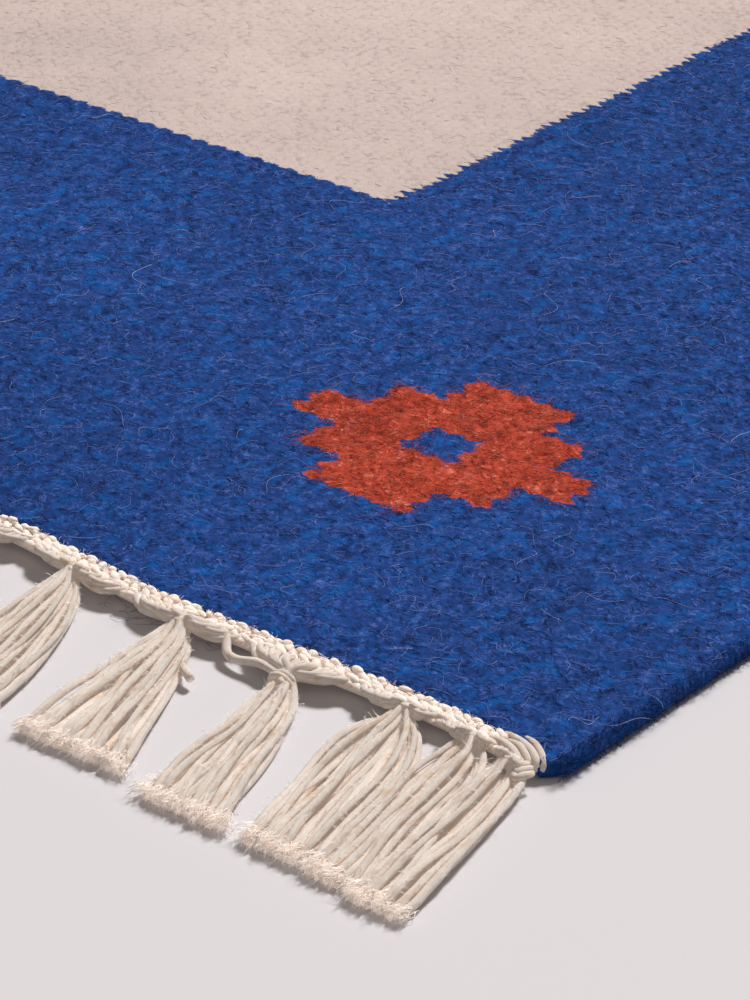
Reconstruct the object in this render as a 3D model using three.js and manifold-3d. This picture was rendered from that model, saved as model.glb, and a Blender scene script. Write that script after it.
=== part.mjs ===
// A flat-woven wool rug (kilim). Wool weft is packed over a cotton warp. At each end the warp is
// bound by a narrow cotton heading, then knotted into tassels that lie on the floor.
// Millimetres, +Z up. X runs along the weft and Y along the warp. The origin is on the floor,
// under the middle of the cloth.

import * as THREE from "three";
import Module from "manifold-3d";

// The cloth.
const CLOTH_WIDTH = 1200;
const CLOTH_LENGTH = 1800;
const CLOTH_THICKNESS = 4.5;
const EDGE_ROUNDING = CLOTH_THICKNESS / 2 - 0.05;
const EAR_STEPS = [0, 5, 10, 17, 25, 34];
const EAR_LENGTH = EAR_STEPS.at(-1);
const STATIONS_BETWEEN_EARS = 30;
const SELVEDGE_STEP = 150;
const SELVEDGE_WANDER = 0.9;

// The heading: a cotton strip along each end of the cloth, held a little off the floor.
const PIECE_GAP = 0.3;
const HEADING_WIDTH = 5;
const HEADING_LOW = 0.9;
const HEADING_HIGH = 4;
const HEADING_ROUNDING = 0.9;

// The fringe: a rope of gathered warp along the heading, and one knotted tassel at a time.
const ROPE_HALF_WIDTH = 1;
const ROPE_LOW = 1.1;
const ROPE_HIGH = 3.6;
const ROPE_GAP = 0.5;
const ROPE_MIDDLE_OUT = PIECE_GAP + HEADING_WIDTH + ROPE_GAP + ROPE_HALF_WIDTH;
const ROPE_TO_KNOT = 0.6;
const ROPE_PULL_REACH = 12;
const TASSEL_PITCH = 28.9;
const TASSEL_TO_SELVEDGE = 10;
const NECK_HALF_WIDTH = 2.4;

// The usual tassel, how much each of its sizes varies, and the slow drift of the lean along an
// end. The columns are those of the corner's own tassels below.
const USUAL_TASSEL = { drop: 8.4, lean: 7, spread: 11.2, long: 51 };
const TASSEL_VARIES = { across: 1.6, drop: 0.8, lean: 1.5, spread: 1.4, long: 2 };
const LEAN_DRIFT = { size: 4, perTassel: 0.7 };

// Where each end of the cloth runs. across is measured along the end from the middle of the
// rug, and out is how far the cloth reaches past its plain length there. The warp near a
// selvedge is longer, so each corner ends in a small ear.
const NEAR_EDGE = [
  { across: -600, out: 6 },
  { across: -590, out: 2 },
  { across: -572, out: -0.5 },
  { across: -460, out: 2 },
  { across: -340, out: 0 },
  { across: -200, out: -3 },
  { across: -60, out: -1.5 },
  { across: 80, out: 2 },
  { across: 200, out: 1 },
  { across: 320, out: -4 },
  { across: 400, out: -7.5 },
  { across: 440, out: -6 },
  { across: 475, out: -2 },
  { across: 500, out: 0.2 },
  { across: 550, out: -0.6 },
  { across: 572, out: 0 },
  { across: 588, out: 2.6 },
  { across: 600, out: 7 },
];
const FAR_EDGE = [
  { across: -600, out: 7 },
  { across: -588, out: 2 },
  { across: -565, out: 0 },
  { across: -420, out: -3 },
  { across: -240, out: 1 },
  { across: -50, out: 3 },
  { across: 130, out: 0 },
  { across: 300, out: -2.5 },
  { across: 460, out: 1.5 },
  { across: 570, out: 0 },
  { across: 590, out: 2.5 },
  { across: 600, out: 6 },
];

// The tassels nearest the front right corner, from the corner inwards. drop is how far the knot
// lies outside the cloth, lean how far the tip lies to the right of the knot, spread the
// half-width of the tip and long the length below the knot.
const CORNER_TASSELS = [
  { across: 590, drop: 8.4, lean: 8, spread: 9.5, long: 53 },
  { across: 580, drop: 7.6, lean: 1.5, spread: 9, long: 53 },
  { across: 559.5, drop: 7.5, lean: 9.5, spread: 10, long: 53 },
  { across: 533.7, drop: 11.2, lean: 14, spread: 11.6, long: 50 },
  { across: 502.3, drop: 8.4, lean: 12.2, spread: 13.6, long: 51 },
  { across: 472, drop: 7.6, lean: 12, spread: 12, long: 51 },
];

// Sections down a tassel. down is the distance below the middle of the knot, as millimetres in
// the knot and as a share of the tassel's length in its fan.
const KNOT_SECTIONS = [
  { down: -1.7, half: 1.9, low: 1, high: 3.7 },
  { down: 0.6, half: 3, low: 0.4, high: 5 },
  { down: 3.4, half: NECK_HALF_WIDTH, low: 0.2, high: 4.4 },
];
const FAN_SECTIONS = [
  { down: 0.42, fan: 0.62, lean: 0.36, low: 0, high: 3.9 },
  { down: 0.88, fan: 1, lean: 0.88, low: 0, high: 3.4 },
  { down: 1, fan: 0.92, lean: 1, low: 0, high: 1.4 },
];

// The outline of one section of a tassel, flat below, as shares of its half-width and height.
const BUNDLE_OUTLINE = [
  { side: -1, up: 0 },
  { side: 1, up: 0 },
  { side: 0.78, up: 1 },
  { side: -0.78, up: 1 },
];

const wasm = await Module();
wasm.setup();

const woolBlue = new THREE.MeshStandardMaterial({ color: 0x24458a, roughness: 0.95, metalness: 0 });
const cottonCream = new THREE.MeshStandardMaterial({ color: 0xe2d3c4, roughness: 0.9, metalness: 0 });

// Repeatable unevenness, from -1 to 1.
function uneven(index, salt) {
  const wave = Math.sin(index * 12.9898 + salt * 78.233) * 43758.5453;
  return 2 * (wave - Math.floor(wave)) - 1;
}

// Places across an end where its line turns: close together in the ears, wide apart between.
function stationsAcross() {
  const first = EAR_LENGTH - CLOTH_WIDTH / 2;
  const step = (-2 * first) / STATIONS_BETWEEN_EARS;
  const left = EAR_STEPS.map((near) => near - CLOTH_WIDTH / 2);
  const between = Array.from({ length: STATIONS_BETWEEN_EARS - 1 }, (_, i) => first + (i + 1) * step);
  const right = left.map((across) => -across).reverse();
  return [...left, ...between, ...right];
}

// The smooth curve through a table's rows, read at one place across the end.
function curveAt(rows, across) {
  const last = rows.length - 1;
  const at = Math.max(1, rows.findIndex((row) => row.across >= across));
  const slope = (i) => {
    const before = rows[Math.max(0, i - 1)];
    const after = rows[Math.min(last, i + 1)];
    return (after.out - before.out) / (after.across - before.across);
  };
  const from = rows[at - 1];
  const to = rows[at];
  const span = to.across - from.across;
  const t = (across - from.across) / span;
  const rise = t * t * (3 - 2 * t);
  const leave = t * (1 - t) * (1 - t) * span * slope(at - 1);
  const arrive = t * t * (t - 1) * span * slope(at);
  return from.out + (to.out - from.out) * rise + leave + arrive;
}

// An end's line as short straight runs, which the cloth, heading and fringe all follow.
function edgeLine(rows) {
  return stationsAcross().map((across) => ({ across, out: curveAt(rows, across) }));
}

function edgeAt(line, across) {
  const at = Math.max(1, line.findIndex((stop) => stop.across >= across));
  const from = line[at - 1];
  const to = line[at];
  return from.out + ((to.out - from.out) * (across - from.across)) / (to.across - from.across);
}

function shapeFrom(points) {
  return new THREE.Shape(points.map(([x, y]) => new THREE.Vector2(x, y)));
}

// A flat sheet of this outline whose whole rim is rounded over.
function roundedSheet(points, low, high, rounding, segments) {
  const geometry = new THREE.ExtrudeGeometry(shapeFrom(points), {
    depth: high - low - 2 * rounding,
    bevelThickness: rounding,
    bevelSize: rounding,
    bevelOffset: -rounding,
    bevelSegments: segments,
  });
  return geometry.translate(0, 0, low + rounding);
}

function clothGeometry(nearLine, farLine) {
  const halfLength = CLOTH_LENGTH / 2;
  const sideSteps = Math.round(CLOTH_LENGTH / SELVEDGE_STEP);
  const sideAt = (i, salt) => CLOTH_WIDTH / 2 + SELVEDGE_WANDER * uneven(i, salt);
  const alongAt = (i) => -halfLength + i * SELVEDGE_STEP;
  const points = nearLine.map((stop) => [stop.across, -halfLength - stop.out]);
  for (let i = 1; i < sideSteps; i += 1) {
    points.push([sideAt(i, 1), alongAt(i)]);
  }
  points.push(...farLine.map((stop) => [-stop.across, halfLength + stop.out]));
  for (let i = sideSteps - 1; i > 0; i -= 1) {
    points.push([-sideAt(i, 2), alongAt(i)]);
  }
  return roundedSheet(points, 0, CLOTH_THICKNESS, EDGE_ROUNDING, 2);
}

// A strip that follows the line of one end, from the gap beside the cloth outwards.
function headingGeometry(line) {
  const stops = line.slice(1, -1);
  const inner = (stop) => -CLOTH_LENGTH / 2 - stop.out - PIECE_GAP;
  const outerPoints = stops.map((stop) => [stop.across, inner(stop) - HEADING_WIDTH]);
  const innerPoints = stops.map((stop) => [stop.across, inner(stop)]).reverse();
  return roundedSheet(outerPoints.concat(innerPoints), HEADING_LOW, HEADING_HIGH, HEADING_ROUNDING, 1);
}

// A closed solid through rings of points that all have the same count and turn.
function loft(rings) {
  const sides = rings[0].length;
  const vertices = rings.flat(2);
  const triangles = [];
  for (let ring = 0; ring + 1 < rings.length; ring += 1) {
    for (let i = 0; i < sides; i += 1) {
      const a = ring * sides + i;
      const b = ring * sides + ((i + 1) % sides);
      triangles.push(a, b, b + sides, a, b + sides, a + sides);
    }
  }
  const lastRing = (rings.length - 1) * sides;
  for (let i = 1; i + 1 < sides; i += 1) {
    triangles.push(0, i + 1, i);
    triangles.push(lastRing, lastRing + i, lastRing + i + 1);
  }
  const mesh = new wasm.Mesh({
    numProp: 3,
    vertProperties: new Float32Array(vertices),
    triVerts: new Uint32Array(triangles),
  });
  return new wasm.Manifold(mesh);
}

// Every tassel of one end, from right to left: the corner's own rows first, then even steps.
function tasselRows(cornerRows, salt) {
  const last = TASSEL_TO_SELVEDGE - CLOTH_WIDTH / 2;
  const first = cornerRows.length ? cornerRows.at(-1).across : -last;
  const count = Math.round((first - last) / TASSEL_PITCH);
  const pitch = (first - last) / count;
  const rows = [...cornerRows];
  for (let i = cornerRows.length ? 1 : 0; i <= count; i += 1) {
    const vary = (column, offset) => TASSEL_VARIES[column] * uneven(i, salt + offset);
    const shift = i === 0 || i === count ? 0 : vary("across", 0);
    const drift = LEAN_DRIFT.size * Math.sin(LEAN_DRIFT.perTassel * i + salt);
    rows.push({
      across: first - i * pitch + shift,
      drop: USUAL_TASSEL.drop + vary("drop", 1),
      lean: USUAL_TASSEL.lean + drift + vary("lean", 2),
      spread: USUAL_TASSEL.spread + vary("spread", 3),
      long: USUAL_TASSEL.long + vary("long", 4),
    });
  }
  return rows;
}

function tasselSolid(row, line) {
  const knotOut = CLOTH_LENGTH / 2 + edgeAt(line, row.across) + row.drop;
  const ring = (middle, half, out, low, high) =>
    BUNDLE_OUTLINE.map((p) => [middle + p.side * half, -out, low + p.up * (high - low)]);
  const knot = KNOT_SECTIONS.map((s) => ring(row.across, s.half, knotOut + s.down, s.low, s.high));
  const fan = FAN_SECTIONS.map((s) => {
    const half = NECK_HALF_WIDTH + s.fan * (row.spread - NECK_HALF_WIDTH);
    const middle = row.across + s.lean * row.lean;
    return ring(middle, half, knotOut + s.down * row.long, s.low, s.high);
  });
  return loft(knot.concat(fan));
}

// The gathered warp that runs along the heading and dips out to each knot.
function ropeSolid(rows, line) {
  const pull = (across) => {
    const dips = rows.map((row) => {
      const near = Math.max(0, 1 - Math.abs(across - row.across) / ROPE_PULL_REACH);
      return near * (row.drop - ROPE_TO_KNOT - ROPE_MIDDLE_OUT);
    });
    return Math.max(...dips, 0);
  };
  const knots = rows.map((row) => row.across);
  const middles = knots.slice(1).map((across, i) => (across + knots[i]) / 2);
  const wide = middles.filter((_, i) => knots[i] - knots[i + 1] > TASSEL_PITCH / 2);
  const ears = line.slice(1, -1).filter((stop) => Math.abs(stop.across) > CLOTH_WIDTH / 2 - EAR_LENGTH);
  const stops = [...knots, ...wide, ...ears.map((stop) => stop.across)].sort((a, b) => b - a);
  const apart = stops.filter((x, i) => i === 0 || stops[i - 1] - x > PIECE_GAP);
  return loft(apart.map((across) => {
    const middle = -CLOTH_LENGTH / 2 - edgeAt(line, across) - ROPE_MIDDLE_OUT - pull(across);
    return [
      [across, middle - ROPE_HALF_WIDTH, ROPE_LOW],
      [across, middle - ROPE_HALF_WIDTH, ROPE_HIGH],
      [across, middle + ROPE_HALF_WIDTH, ROPE_HIGH],
      [across, middle + ROPE_HALF_WIDTH, ROPE_LOW],
    ];
  }));
}

function geometryFrom(solid) {
  const mesh = solid.getMesh();
  const geometry = new THREE.BufferGeometry();
  geometry.setAttribute("position", new THREE.BufferAttribute(new Float32Array(mesh.vertProperties), 3));
  geometry.setIndex(new THREE.BufferAttribute(new Uint32Array(mesh.triVerts), 1));
  geometry.computeVertexNormals();
  return geometry;
}

function fringeGeometry(line, cornerRows, salt) {
  const rows = tasselRows(cornerRows, salt);
  const tassels = rows.map((row) => tasselSolid(row, line));
  return geometryFrom(tassels.reduce((comb, tassel) => comb.add(tassel), ropeSolid(rows, line)));
}

function addPiece(parent, name, geometry, material) {
  const mesh = new THREE.Mesh(geometry, material);
  mesh.name = name;
  parent.add(mesh);
}

// One end's heading and fringe, turned half round for the far end.
function addEnd(parent, label, line, cornerRows, salt, turn) {
  const end = new THREE.Group();
  end.rotation.z = turn;
  addPiece(end, `heading_${label}`, headingGeometry(line), cottonCream);
  addPiece(end, `fringe_${label}`, fringeGeometry(line, cornerRows, salt), cottonCream);
  parent.add(end);
}

const rug = new THREE.Group();
const nearLine = edgeLine(NEAR_EDGE);
const farLine = edgeLine(FAR_EDGE);
addPiece(rug, "rug_cloth", clothGeometry(nearLine, farLine), woolBlue);
addEnd(rug, "near", nearLine, CORNER_TASSELS, 3, 0);
addEnd(rug, "far", farLine, [], 11, Math.PI);

export default rug;
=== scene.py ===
"""A flat-woven wool rug with a cotton heading and knotted tassels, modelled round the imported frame.

Run as a script by Blender 4.5. Everything is in metres in the frame's own axes: X along the weft,
Y along the warp, Z up from the floor. Shapes are worked out in millimetres and scaled once.
"""

import functools
import math

import bmesh
import bpy
import numpy as np
from bpy.props import FloatProperty, FloatVectorProperty, IntProperty, PointerProperty
from mathutils import Matrix, Vector


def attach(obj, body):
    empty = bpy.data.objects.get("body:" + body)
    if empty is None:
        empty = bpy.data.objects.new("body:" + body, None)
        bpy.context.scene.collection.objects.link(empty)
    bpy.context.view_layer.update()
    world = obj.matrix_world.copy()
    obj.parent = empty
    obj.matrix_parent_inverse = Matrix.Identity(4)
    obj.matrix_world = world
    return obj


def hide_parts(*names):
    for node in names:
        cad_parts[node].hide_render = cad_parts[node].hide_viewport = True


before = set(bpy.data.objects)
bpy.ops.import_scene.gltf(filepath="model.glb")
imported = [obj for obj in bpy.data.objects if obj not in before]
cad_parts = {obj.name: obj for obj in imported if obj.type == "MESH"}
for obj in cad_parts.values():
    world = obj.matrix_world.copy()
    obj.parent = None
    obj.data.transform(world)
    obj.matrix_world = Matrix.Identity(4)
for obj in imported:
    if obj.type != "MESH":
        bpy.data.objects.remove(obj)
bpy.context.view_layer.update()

bl_info = {
    "name": "Kilim rug",
    "version": (1, 0, 0),
    "blender": (4, 5, 0),
    "location": "3D View > Sidebar > Rug",
    "description": "Builds a flat-woven wool rug with a cotton heading and a knotted fringe",
    "category": "Add Mesh",
}

MM = 0.001
HALF_WIDTH = 600.0
HALF_LENGTH = 900.0
THICKNESS = 4.5
EDGE_ROUNDING = 2.2

# Where an end's line turns, from the selvedge inwards, and how many even runs lie between.
EAR_STEPS = (0, 5, 10, 17, 25, 34)
RUNS_BETWEEN_EARS = 30
SELVEDGE_STEP = 150
SELVEDGE_WANDER = 0.9

# How the tassels are set out along an end, and how one that has no row of its own hangs.
TASSEL_PITCH = 28.9
TASSEL_INSET = 10
USUAL_TASSEL = {"drop": 8.4, "lean": 8, "spread": 11.2, "long": 54}
USUAL_LOOK = (0.35, 2.6)
TASSEL_VARIES = {"drop": 0.8, "lean": 1.5, "spread": 1.4, "long": 2}
ACROSS_VARIES = 1.6
LEAN_DRIFT = 4
LEAN_DRIFT_PER_TASSEL = 0.7

# How far each end of the cloth reaches past its plain length: place across, reach out.
NEAR_EDGE = (
    (-600, 6), (-590, 2), (-572, -0.5), (-460, 2), (-340, 0), (-200, -3), (-60, -1.5),
    (80, 2), (200, 1), (320, -4), (400, -7.5), (440, -6), (475, -2), (500, 0.2),
    (550, -0.6), (572, 0), (588, 2.2), (594, 4.2), (600, 10.5),
)
FAR_EDGE = (
    (-600, 7), (-588, 2), (-565, 0), (-420, -3), (-240, 1), (-50, 3), (130, 0),
    (300, -2.5), (460, 1.5), (570, 0), (590, 2.5), (600, 6),
)

# The tassels next to the front right corner, from the corner inwards.
TASSEL_COLUMNS = ("across", "drop", "lean", "spread", "long")
CORNER_TASSELS = (
    (590.5, 7.4, 9.8, 6, 58.5),
    (579.5, 6.8, 12, 8, 59),
    (562, 7.2, 14.6, 10, 58.5),
    (535.5, 11.6, 15.6, 9.8, 53.5),
    (504.5, 8.4, 14.3, 12.4, 53),
    (472, 8, 15, 10.8, 55),
)

# How those tassels hang: how much each swells just below its knot, and half its neck's width.
CORNER_LOOKS = ((0.6, 4.4), (0.6, 3), (1, 2.6), (0.25, 2.4), (0, 2.6), (0.3, 2.6))

# The patch of cloth at the front right corner that is built finest, turned to lie along the
# diagonal of the corner: its middle, its direction and its half sizes.
PATCH_MIDDLE = (439.0, -747.0)
PATCH_TURN = math.radians(127.7)
PATCH_HALF = (235.0, 118.0)
# The corner figure: its middle, its half sizes, the size of one of its steps, and its eye.
FIGURE_MIDDLE = (495.5, 804.5)
FIGURE_HALF = (38.0, 33.0)
FIGURE_STEP = (12.0, 13.2)
FIGURE_EYE = (7.0, 6.6)

# How far the cloth runs in under the stitches of the near heading, and how far from each near
# corner the rounding of its outline begins.
HEADING_OVERLAP = 1.3
CORNER_SOFT = 7.0
CORNER_CUT = 0.32

# The way the nap lies after washing: aslant from warp and weft.
NAP = (0.0, 0.0, math.radians(36.0))

# Where the cloth's fine grid and the near heading's fine stitches begin and end, and the spacing
# of the fine grid's lines and of its coarse ones.
FINE_FROM_X = 215.0
FINE_TO_Y = -500.0
FINE_END_X = 455.0
GRID_STEP = 2.1
COARSE_COLUMN = 16
COARSE_ROW = 22

# Tassels next to the near right corner that get fine yarns, and which of them is bound.
DETAILED_TASSELS = 7
BOUND_TASSEL = 3

# Fibres in each tassel's brush and fuzz per yarn, on the near heading, and shed on the floor.
BRUSH_PER_YARN = 58
PLAIN_BRUSH_PER_YARN = 7
FUZZ_PER_YARN = 66
HEADING_FUZZ = 2000
SELVEDGE_FIBRES = 4200
SHED_FIBRES = 34
SHED_ACROSS = (482, 517)
FLOOR_HALF = 30


def linear(hex_colour):
    """A colour written as sRGB hex, turned to the linear values that shaders take."""
    channels = [int(hex_colour[i : i + 2], 16) / 255 for i in (1, 3, 5)]
    low = [c / 12.92 if c <= 0.04045 else ((c + 0.055) / 1.055) ** 2.4 for c in channels]
    return (*low, 1.0)


class RugSizes(bpy.types.PropertyGroup):
    """Sizes of the weave and the yarns."""

    warp_spacing: FloatProperty(
        name="Warp spacing",
        description="Distance from one warp end to the next",
        default=0.00295,
        unit="LENGTH",
    )
    pick_pair: FloatProperty(
        name="Pick pair",
        description="Length along the warp that two packed weft picks take up",
        default=0.0034,
        unit="LENGTH",
    )
    border_width: FloatProperty(
        name="Border width",
        description="Width of the blue border round the cream field",
        default=0.2,
        unit="LENGTH",
    )
    yarn_radius: FloatProperty(
        name="Fringe yarn radius",
        description="Radius of one cotton warp end where it hangs loose in a tassel",
        default=0.00074,
        unit="LENGTH",
    )
    fibre_radius: FloatProperty(
        name="Wool fibre radius",
        description="Radius of one lock of loose wool fibres, coarser than one true fibre",
        default=0.000055,
        unit="LENGTH",
    )
    blue_fibres: IntProperty(
        name="Blue fibres",
        description="Short loose fibres on the blue wool of the finest patch",
        default=6000,
    )
    blue_curls: IntProperty(
        name="Blue curls",
        description="Longer curled fibres on the blue wool of the finest patch",
        default=4200,
    )
    cream_fibres: IntProperty(
        name="Cream fibres",
        description="Short loose fibres on the cream wool of the finest patch",
        default=1600,
    )
    rust_fibres: IntProperty(
        name="Rust fibres",
        description="Loose fibres on one rust figure of the finest patch",
        default=1700,
    )
    stray_hairs: IntProperty(
        name="Stray hairs",
        description="Long pale hairs that lie on the finest patch",
        default=150,
    )


class RugColours(bpy.types.PropertyGroup):
    """Colours of the wool, the cotton and the floor."""

    blue: FloatVectorProperty(
        name="Blue wool", description="Middle tone of the border", size=4,
        subtype="COLOR", min=0, max=1, default=linear("#173875"),
    )
    # The navy and pale blue are the ends of a tone ramp that follows the relief: the navy is partly painted shade in
    # dents and low places, the pale blue partly a painted highlight on raised fibres.
    navy: FloatVectorProperty(
        name="Navy wool", description="Tone in the dents of the border", size=4,
        subtype="COLOR", min=0, max=1, default=linear("#0f2758"),
    )
    pale_blue: FloatVectorProperty(
        name="Pale blue wool", description="Tone of the fibres that stand up", size=4,
        subtype="COLOR", min=0, max=1, default=linear("#3c5fa6"),
    )
    azure: FloatVectorProperty(
        name="Azure wool", description="Brighter flecks spun into the blue", size=4,
        subtype="COLOR", min=0, max=1, default=linear("#0a529e"),
    )
    violet: FloatVectorProperty(
        name="Violet wool", description="Duller flecks spun into the blue", size=4,
        subtype="COLOR", min=0, max=1, default=linear("#3a4483"),
    )
    cream: FloatVectorProperty(
        name="Cream wool", description="Middle tone of the field", size=4,
        subtype="COLOR", min=0, max=1, default=linear("#c8bab6"),
    )
    rust: FloatVectorProperty(
        name="Rust wool", description="Middle tone of the corner figures", size=4,
        subtype="COLOR", min=0, max=1, default=linear("#b14634"),
    )
    heading: FloatVectorProperty(
        name="Heading cotton", description="Tone of the woven cotton heading", size=4,
        subtype="COLOR", min=0, max=1, default=linear("#fff2ea"),
    )
    fringe: FloatVectorProperty(
        name="Fringe cotton", description="Tone of the loose cotton yarn", size=4,
        subtype="COLOR", min=0, max=1, default=linear("#fff4ec"),
    )
    floor: FloatVectorProperty(
        name="Floor", description="Tone of the pale painted floor", size=4,
        subtype="COLOR", min=0, max=1, default=linear("#d1d1d7"),
    )


# ---------------------------------------------------------------- lines and rows of the frame


def uneven(index, salt):
    """Repeatable unevenness from -1 to 1, the same as the frame's."""
    wave = math.sin(index * 12.9898 + salt * 78.233) * 43758.5453
    return 2 * (wave - math.floor(wave)) - 1


def edge_line(rows):
    """An end's line as short straight runs: places across, and reach out at each."""
    first = EAR_STEPS[-1] - HALF_WIDTH
    step = -2 * first / RUNS_BETWEEN_EARS
    left = [near - HALF_WIDTH for near in EAR_STEPS]
    between = [first + (i + 1) * step for i in range(RUNS_BETWEEN_EARS - 1)]
    places = left + between + [-a for a in reversed(left)]
    last = len(rows) - 1

    def slope(i):
        before, after = rows[max(0, i - 1)], rows[min(last, i + 1)]
        return (after[1] - before[1]) / (after[0] - before[0])

    reach = []
    for across in places:
        at = max(1, next(i for i, row in enumerate(rows) if row[0] >= across))
        (x0, y0), (x1, y1) = rows[at - 1], rows[at]
        span = x1 - x0
        t = (across - x0) / span
        leave = t * (1 - t) ** 2 * span * slope(at - 1)
        arrive = t * t * (t - 1) * span * slope(at)
        reach.append(y0 + (y1 - y0) * t * t * (3 - 2 * t) + leave + arrive)
    return np.array(places), np.array(reach)


def tassel_rows(corner_rows, salt):
    """Every tassel of one end, from right to left, as in the frame."""
    rows = [dict(zip(TASSEL_COLUMNS, row)) for row in corner_rows]
    last = TASSEL_INSET - HALF_WIDTH
    first = rows[-1]["across"] if rows else -last
    count = round((first - last) / TASSEL_PITCH)
    pitch = (first - last) / count
    for i in range(1 if rows else 0, count + 1):
        shift = 0 if i in (0, count) else ACROSS_VARIES * uneven(i, salt)
        row = {"across": first - i * pitch + shift}
        for offset, column in enumerate(TASSEL_VARIES, 1):
            row[column] = USUAL_TASSEL[column] + TASSEL_VARIES[column] * uneven(i, salt + offset)
        row["lean"] += LEAN_DRIFT * math.sin(LEAN_DRIFT_PER_TASSEL * i + salt)
        rows.append(row)
    return rows


ENDS = {
    "near": {"line": edge_line(NEAR_EDGE), "rows": tassel_rows(CORNER_TASSELS, 3), "turn": 1},
    "far": {"line": edge_line(FAR_EDGE), "rows": tassel_rows((), 11), "turn": -1},
}


def reach_at(end, across):
    """How far the cloth reaches past its plain length at that place of that end."""
    return np.interp(across, *ENDS[end]["line"])


def ripples(x, y, wavelengths, count, seed):
    """A smooth random surface of height about 1, made of waves that run every way."""
    rng = np.random.default_rng(seed)
    total = np.zeros(np.broadcast(x, y).shape)
    for _ in range(count):
        turn, phase = rng.uniform(0, 2 * math.pi, 2)
        length = rng.uniform(*wavelengths)
        along = x * math.cos(turn) + y * math.sin(turn)
        total += np.sin(2 * math.pi * along / length + phase)
    return total / math.sqrt(2 * count)


def cloth_height(x, y):
    """Height of the cloth's upper face: slow waves and the felted dents of the wool."""
    slow = 0.16 * ripples(x, y, (70, 160), 14, 5)
    dents = 0.10 * ripples(x, y, (6, 11), 26, 6)
    return 4.28 + slow + dents


def figure_depth(x, y):
    """How deep a place is inside the nearest corner figure, below zero outside it."""
    dx = np.abs(np.abs(x) - FIGURE_MIDDLE[0])
    dy = np.abs(np.abs(y) - FIGURE_MIDDLE[1])
    step = np.floor(dy / FIGURE_STEP[1] + 0.5)
    inside = np.minimum(FIGURE_HALF[0] - FIGURE_STEP[0] * step - dx, FIGURE_HALF[1] - dy)
    eye = np.minimum(FIGURE_EYE[0] - dx, FIGURE_EYE[1] - dy)
    return np.minimum(inside, -eye)


def field_depth(x, y):
    """How deep a place is inside the cream field, below zero in the border."""
    border = bpy.context.scene.rug_sizes.border_width / MM
    return np.minimum(HALF_WIDTH - border - np.abs(x), HALF_LENGTH - border - np.abs(y))


# ---------------------------------------------------------------- meshes


def piece_from(mesh, name, material, replaced=()):
    """Puts a finished mesh into the scene as a piece that rides on the rug's one body."""
    piece = bpy.data.objects.new(name, mesh)
    bpy.context.scene.collection.objects.link(piece)
    mesh.name = name
    mesh.materials.clear()
    mesh.materials.append(material)
    mesh.polygons.foreach_set("use_smooth", np.ones(len(mesh.polygons), bool))
    mesh.update()
    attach(piece, "root")
    if replaced:
        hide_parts(*replaced)
    return piece


def template_of(bm):
    """A small bmesh as plain arrays of its corners and triangles, ready to be laid out many times."""
    bmesh.ops.triangulate(bm, faces=bm.faces[:])
    bm.verts.index_update()
    corners = np.array([v.co[:] for v in bm.verts])
    triangles = np.array([[v.index for v in face.verts] for face in bm.faces])
    bm.free()
    return corners, triangles


def joined_mesh(name, corners, triangles, shade=None):
    """Many copies of one template as one mesh. corners holds one row of points per copy, in mm."""
    copies, each = corners.shape[:2]
    shift = (np.arange(copies) * each)[:, None, None]
    faces = (triangles[None] + shift).reshape(-1, 3)
    mesh = bpy.data.meshes.new(name)
    mesh.vertices.add(copies * each)
    mesh.loops.add(faces.size)
    mesh.polygons.add(len(faces))
    mesh.vertices.foreach_set("co", (corners * MM).astype(np.float32).ravel())
    mesh.loops.foreach_set("vertex_index", faces.astype(np.int32).ravel())
    mesh.polygons.foreach_set("loop_start", np.arange(0, faces.size, 3, dtype=np.int32))
    mesh.update(calc_edges=True)
    if shade is not None:
        values = np.repeat(shade, each).astype(np.float32)
        mesh.attributes.new("shade", "FLOAT", "POINT").data.foreach_set("value", values)
    return mesh


def fibre_template(cuts):
    """A closed three-sided spike from height 0 to 1, cut across so that it can bend."""
    bm = bmesh.new()
    bmesh.ops.create_cone(bm, cap_ends=True, segments=3, radius1=1, radius2=0, depth=1)
    bmesh.ops.translate(bm, vec=(0, 0, 0.5), verts=bm.verts)
    bmesh.ops.remove_doubles(bm, verts=bm.verts[:], dist=1e-4)
    for i in range(cuts):
        height = (i + 1) / (cuts + 1)
        everything = bm.verts[:] + bm.edges[:] + bm.faces[:]
        cut = bmesh.ops.bisect_plane(
            bm, geom=everything, plane_co=(0, 0, height), plane_no=(0, 0, 1)
        )
        ring = [g for g in cut["geom_cut"] if isinstance(g, bmesh.types.BMVert)]
        wide = (1 - 0.35 * height) / max(v.co.xy.length for v in ring)
        bmesh.ops.scale(bm, vec=(wide, wide, 1), verts=ring)
    bmesh.ops.recalc_face_normals(bm, faces=bm.faces[:])
    return template_of(bm)


def unit(vectors):
    """The same vectors, one per row, with length 1."""
    return vectors / np.linalg.norm(vectors, axis=1, keepdims=True)


def bent_fibres(template, roots, ways, lengths, radii, curl, waves, lift, rng):
    """Corners of one bent fibre per root. curl is the sideways swing as a share of the length,
    waves how many half turns it makes, and lift how high its middle stands, in mm."""
    corners, _ = template
    count = len(roots)
    ways = unit(ways)
    sides = unit(np.cross(ways, (0.0, 0.0, 1.0)) + 1e-6)
    ups = np.cross(sides, ways)
    t = corners[:, 2][None, :]
    phase = rng.uniform(0, 2 * math.pi, count)[:, None]
    turns = math.pi * np.broadcast_to(waves, count)[:, None]
    size = np.broadcast_to(lengths, count)[:, None]
    swing = (np.sin(turns * t + phase) - np.sin(phase)) * np.broadcast_to(curl, count)[:, None] * size
    hump = 4 * t * (1 - t) * np.broadcast_to(lift, count)[:, None]
    thick = np.broadcast_to(radii, count)[:, None]
    aside = swing + thick * corners[:, 0][None, :]
    above = hump + thick * corners[:, 1][None, :]
    along = (size * t)[..., None] * ways[:, None]
    return roots[:, None] + along + aside[..., None] * sides[:, None] + above[..., None] * ups[:, None]


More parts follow.
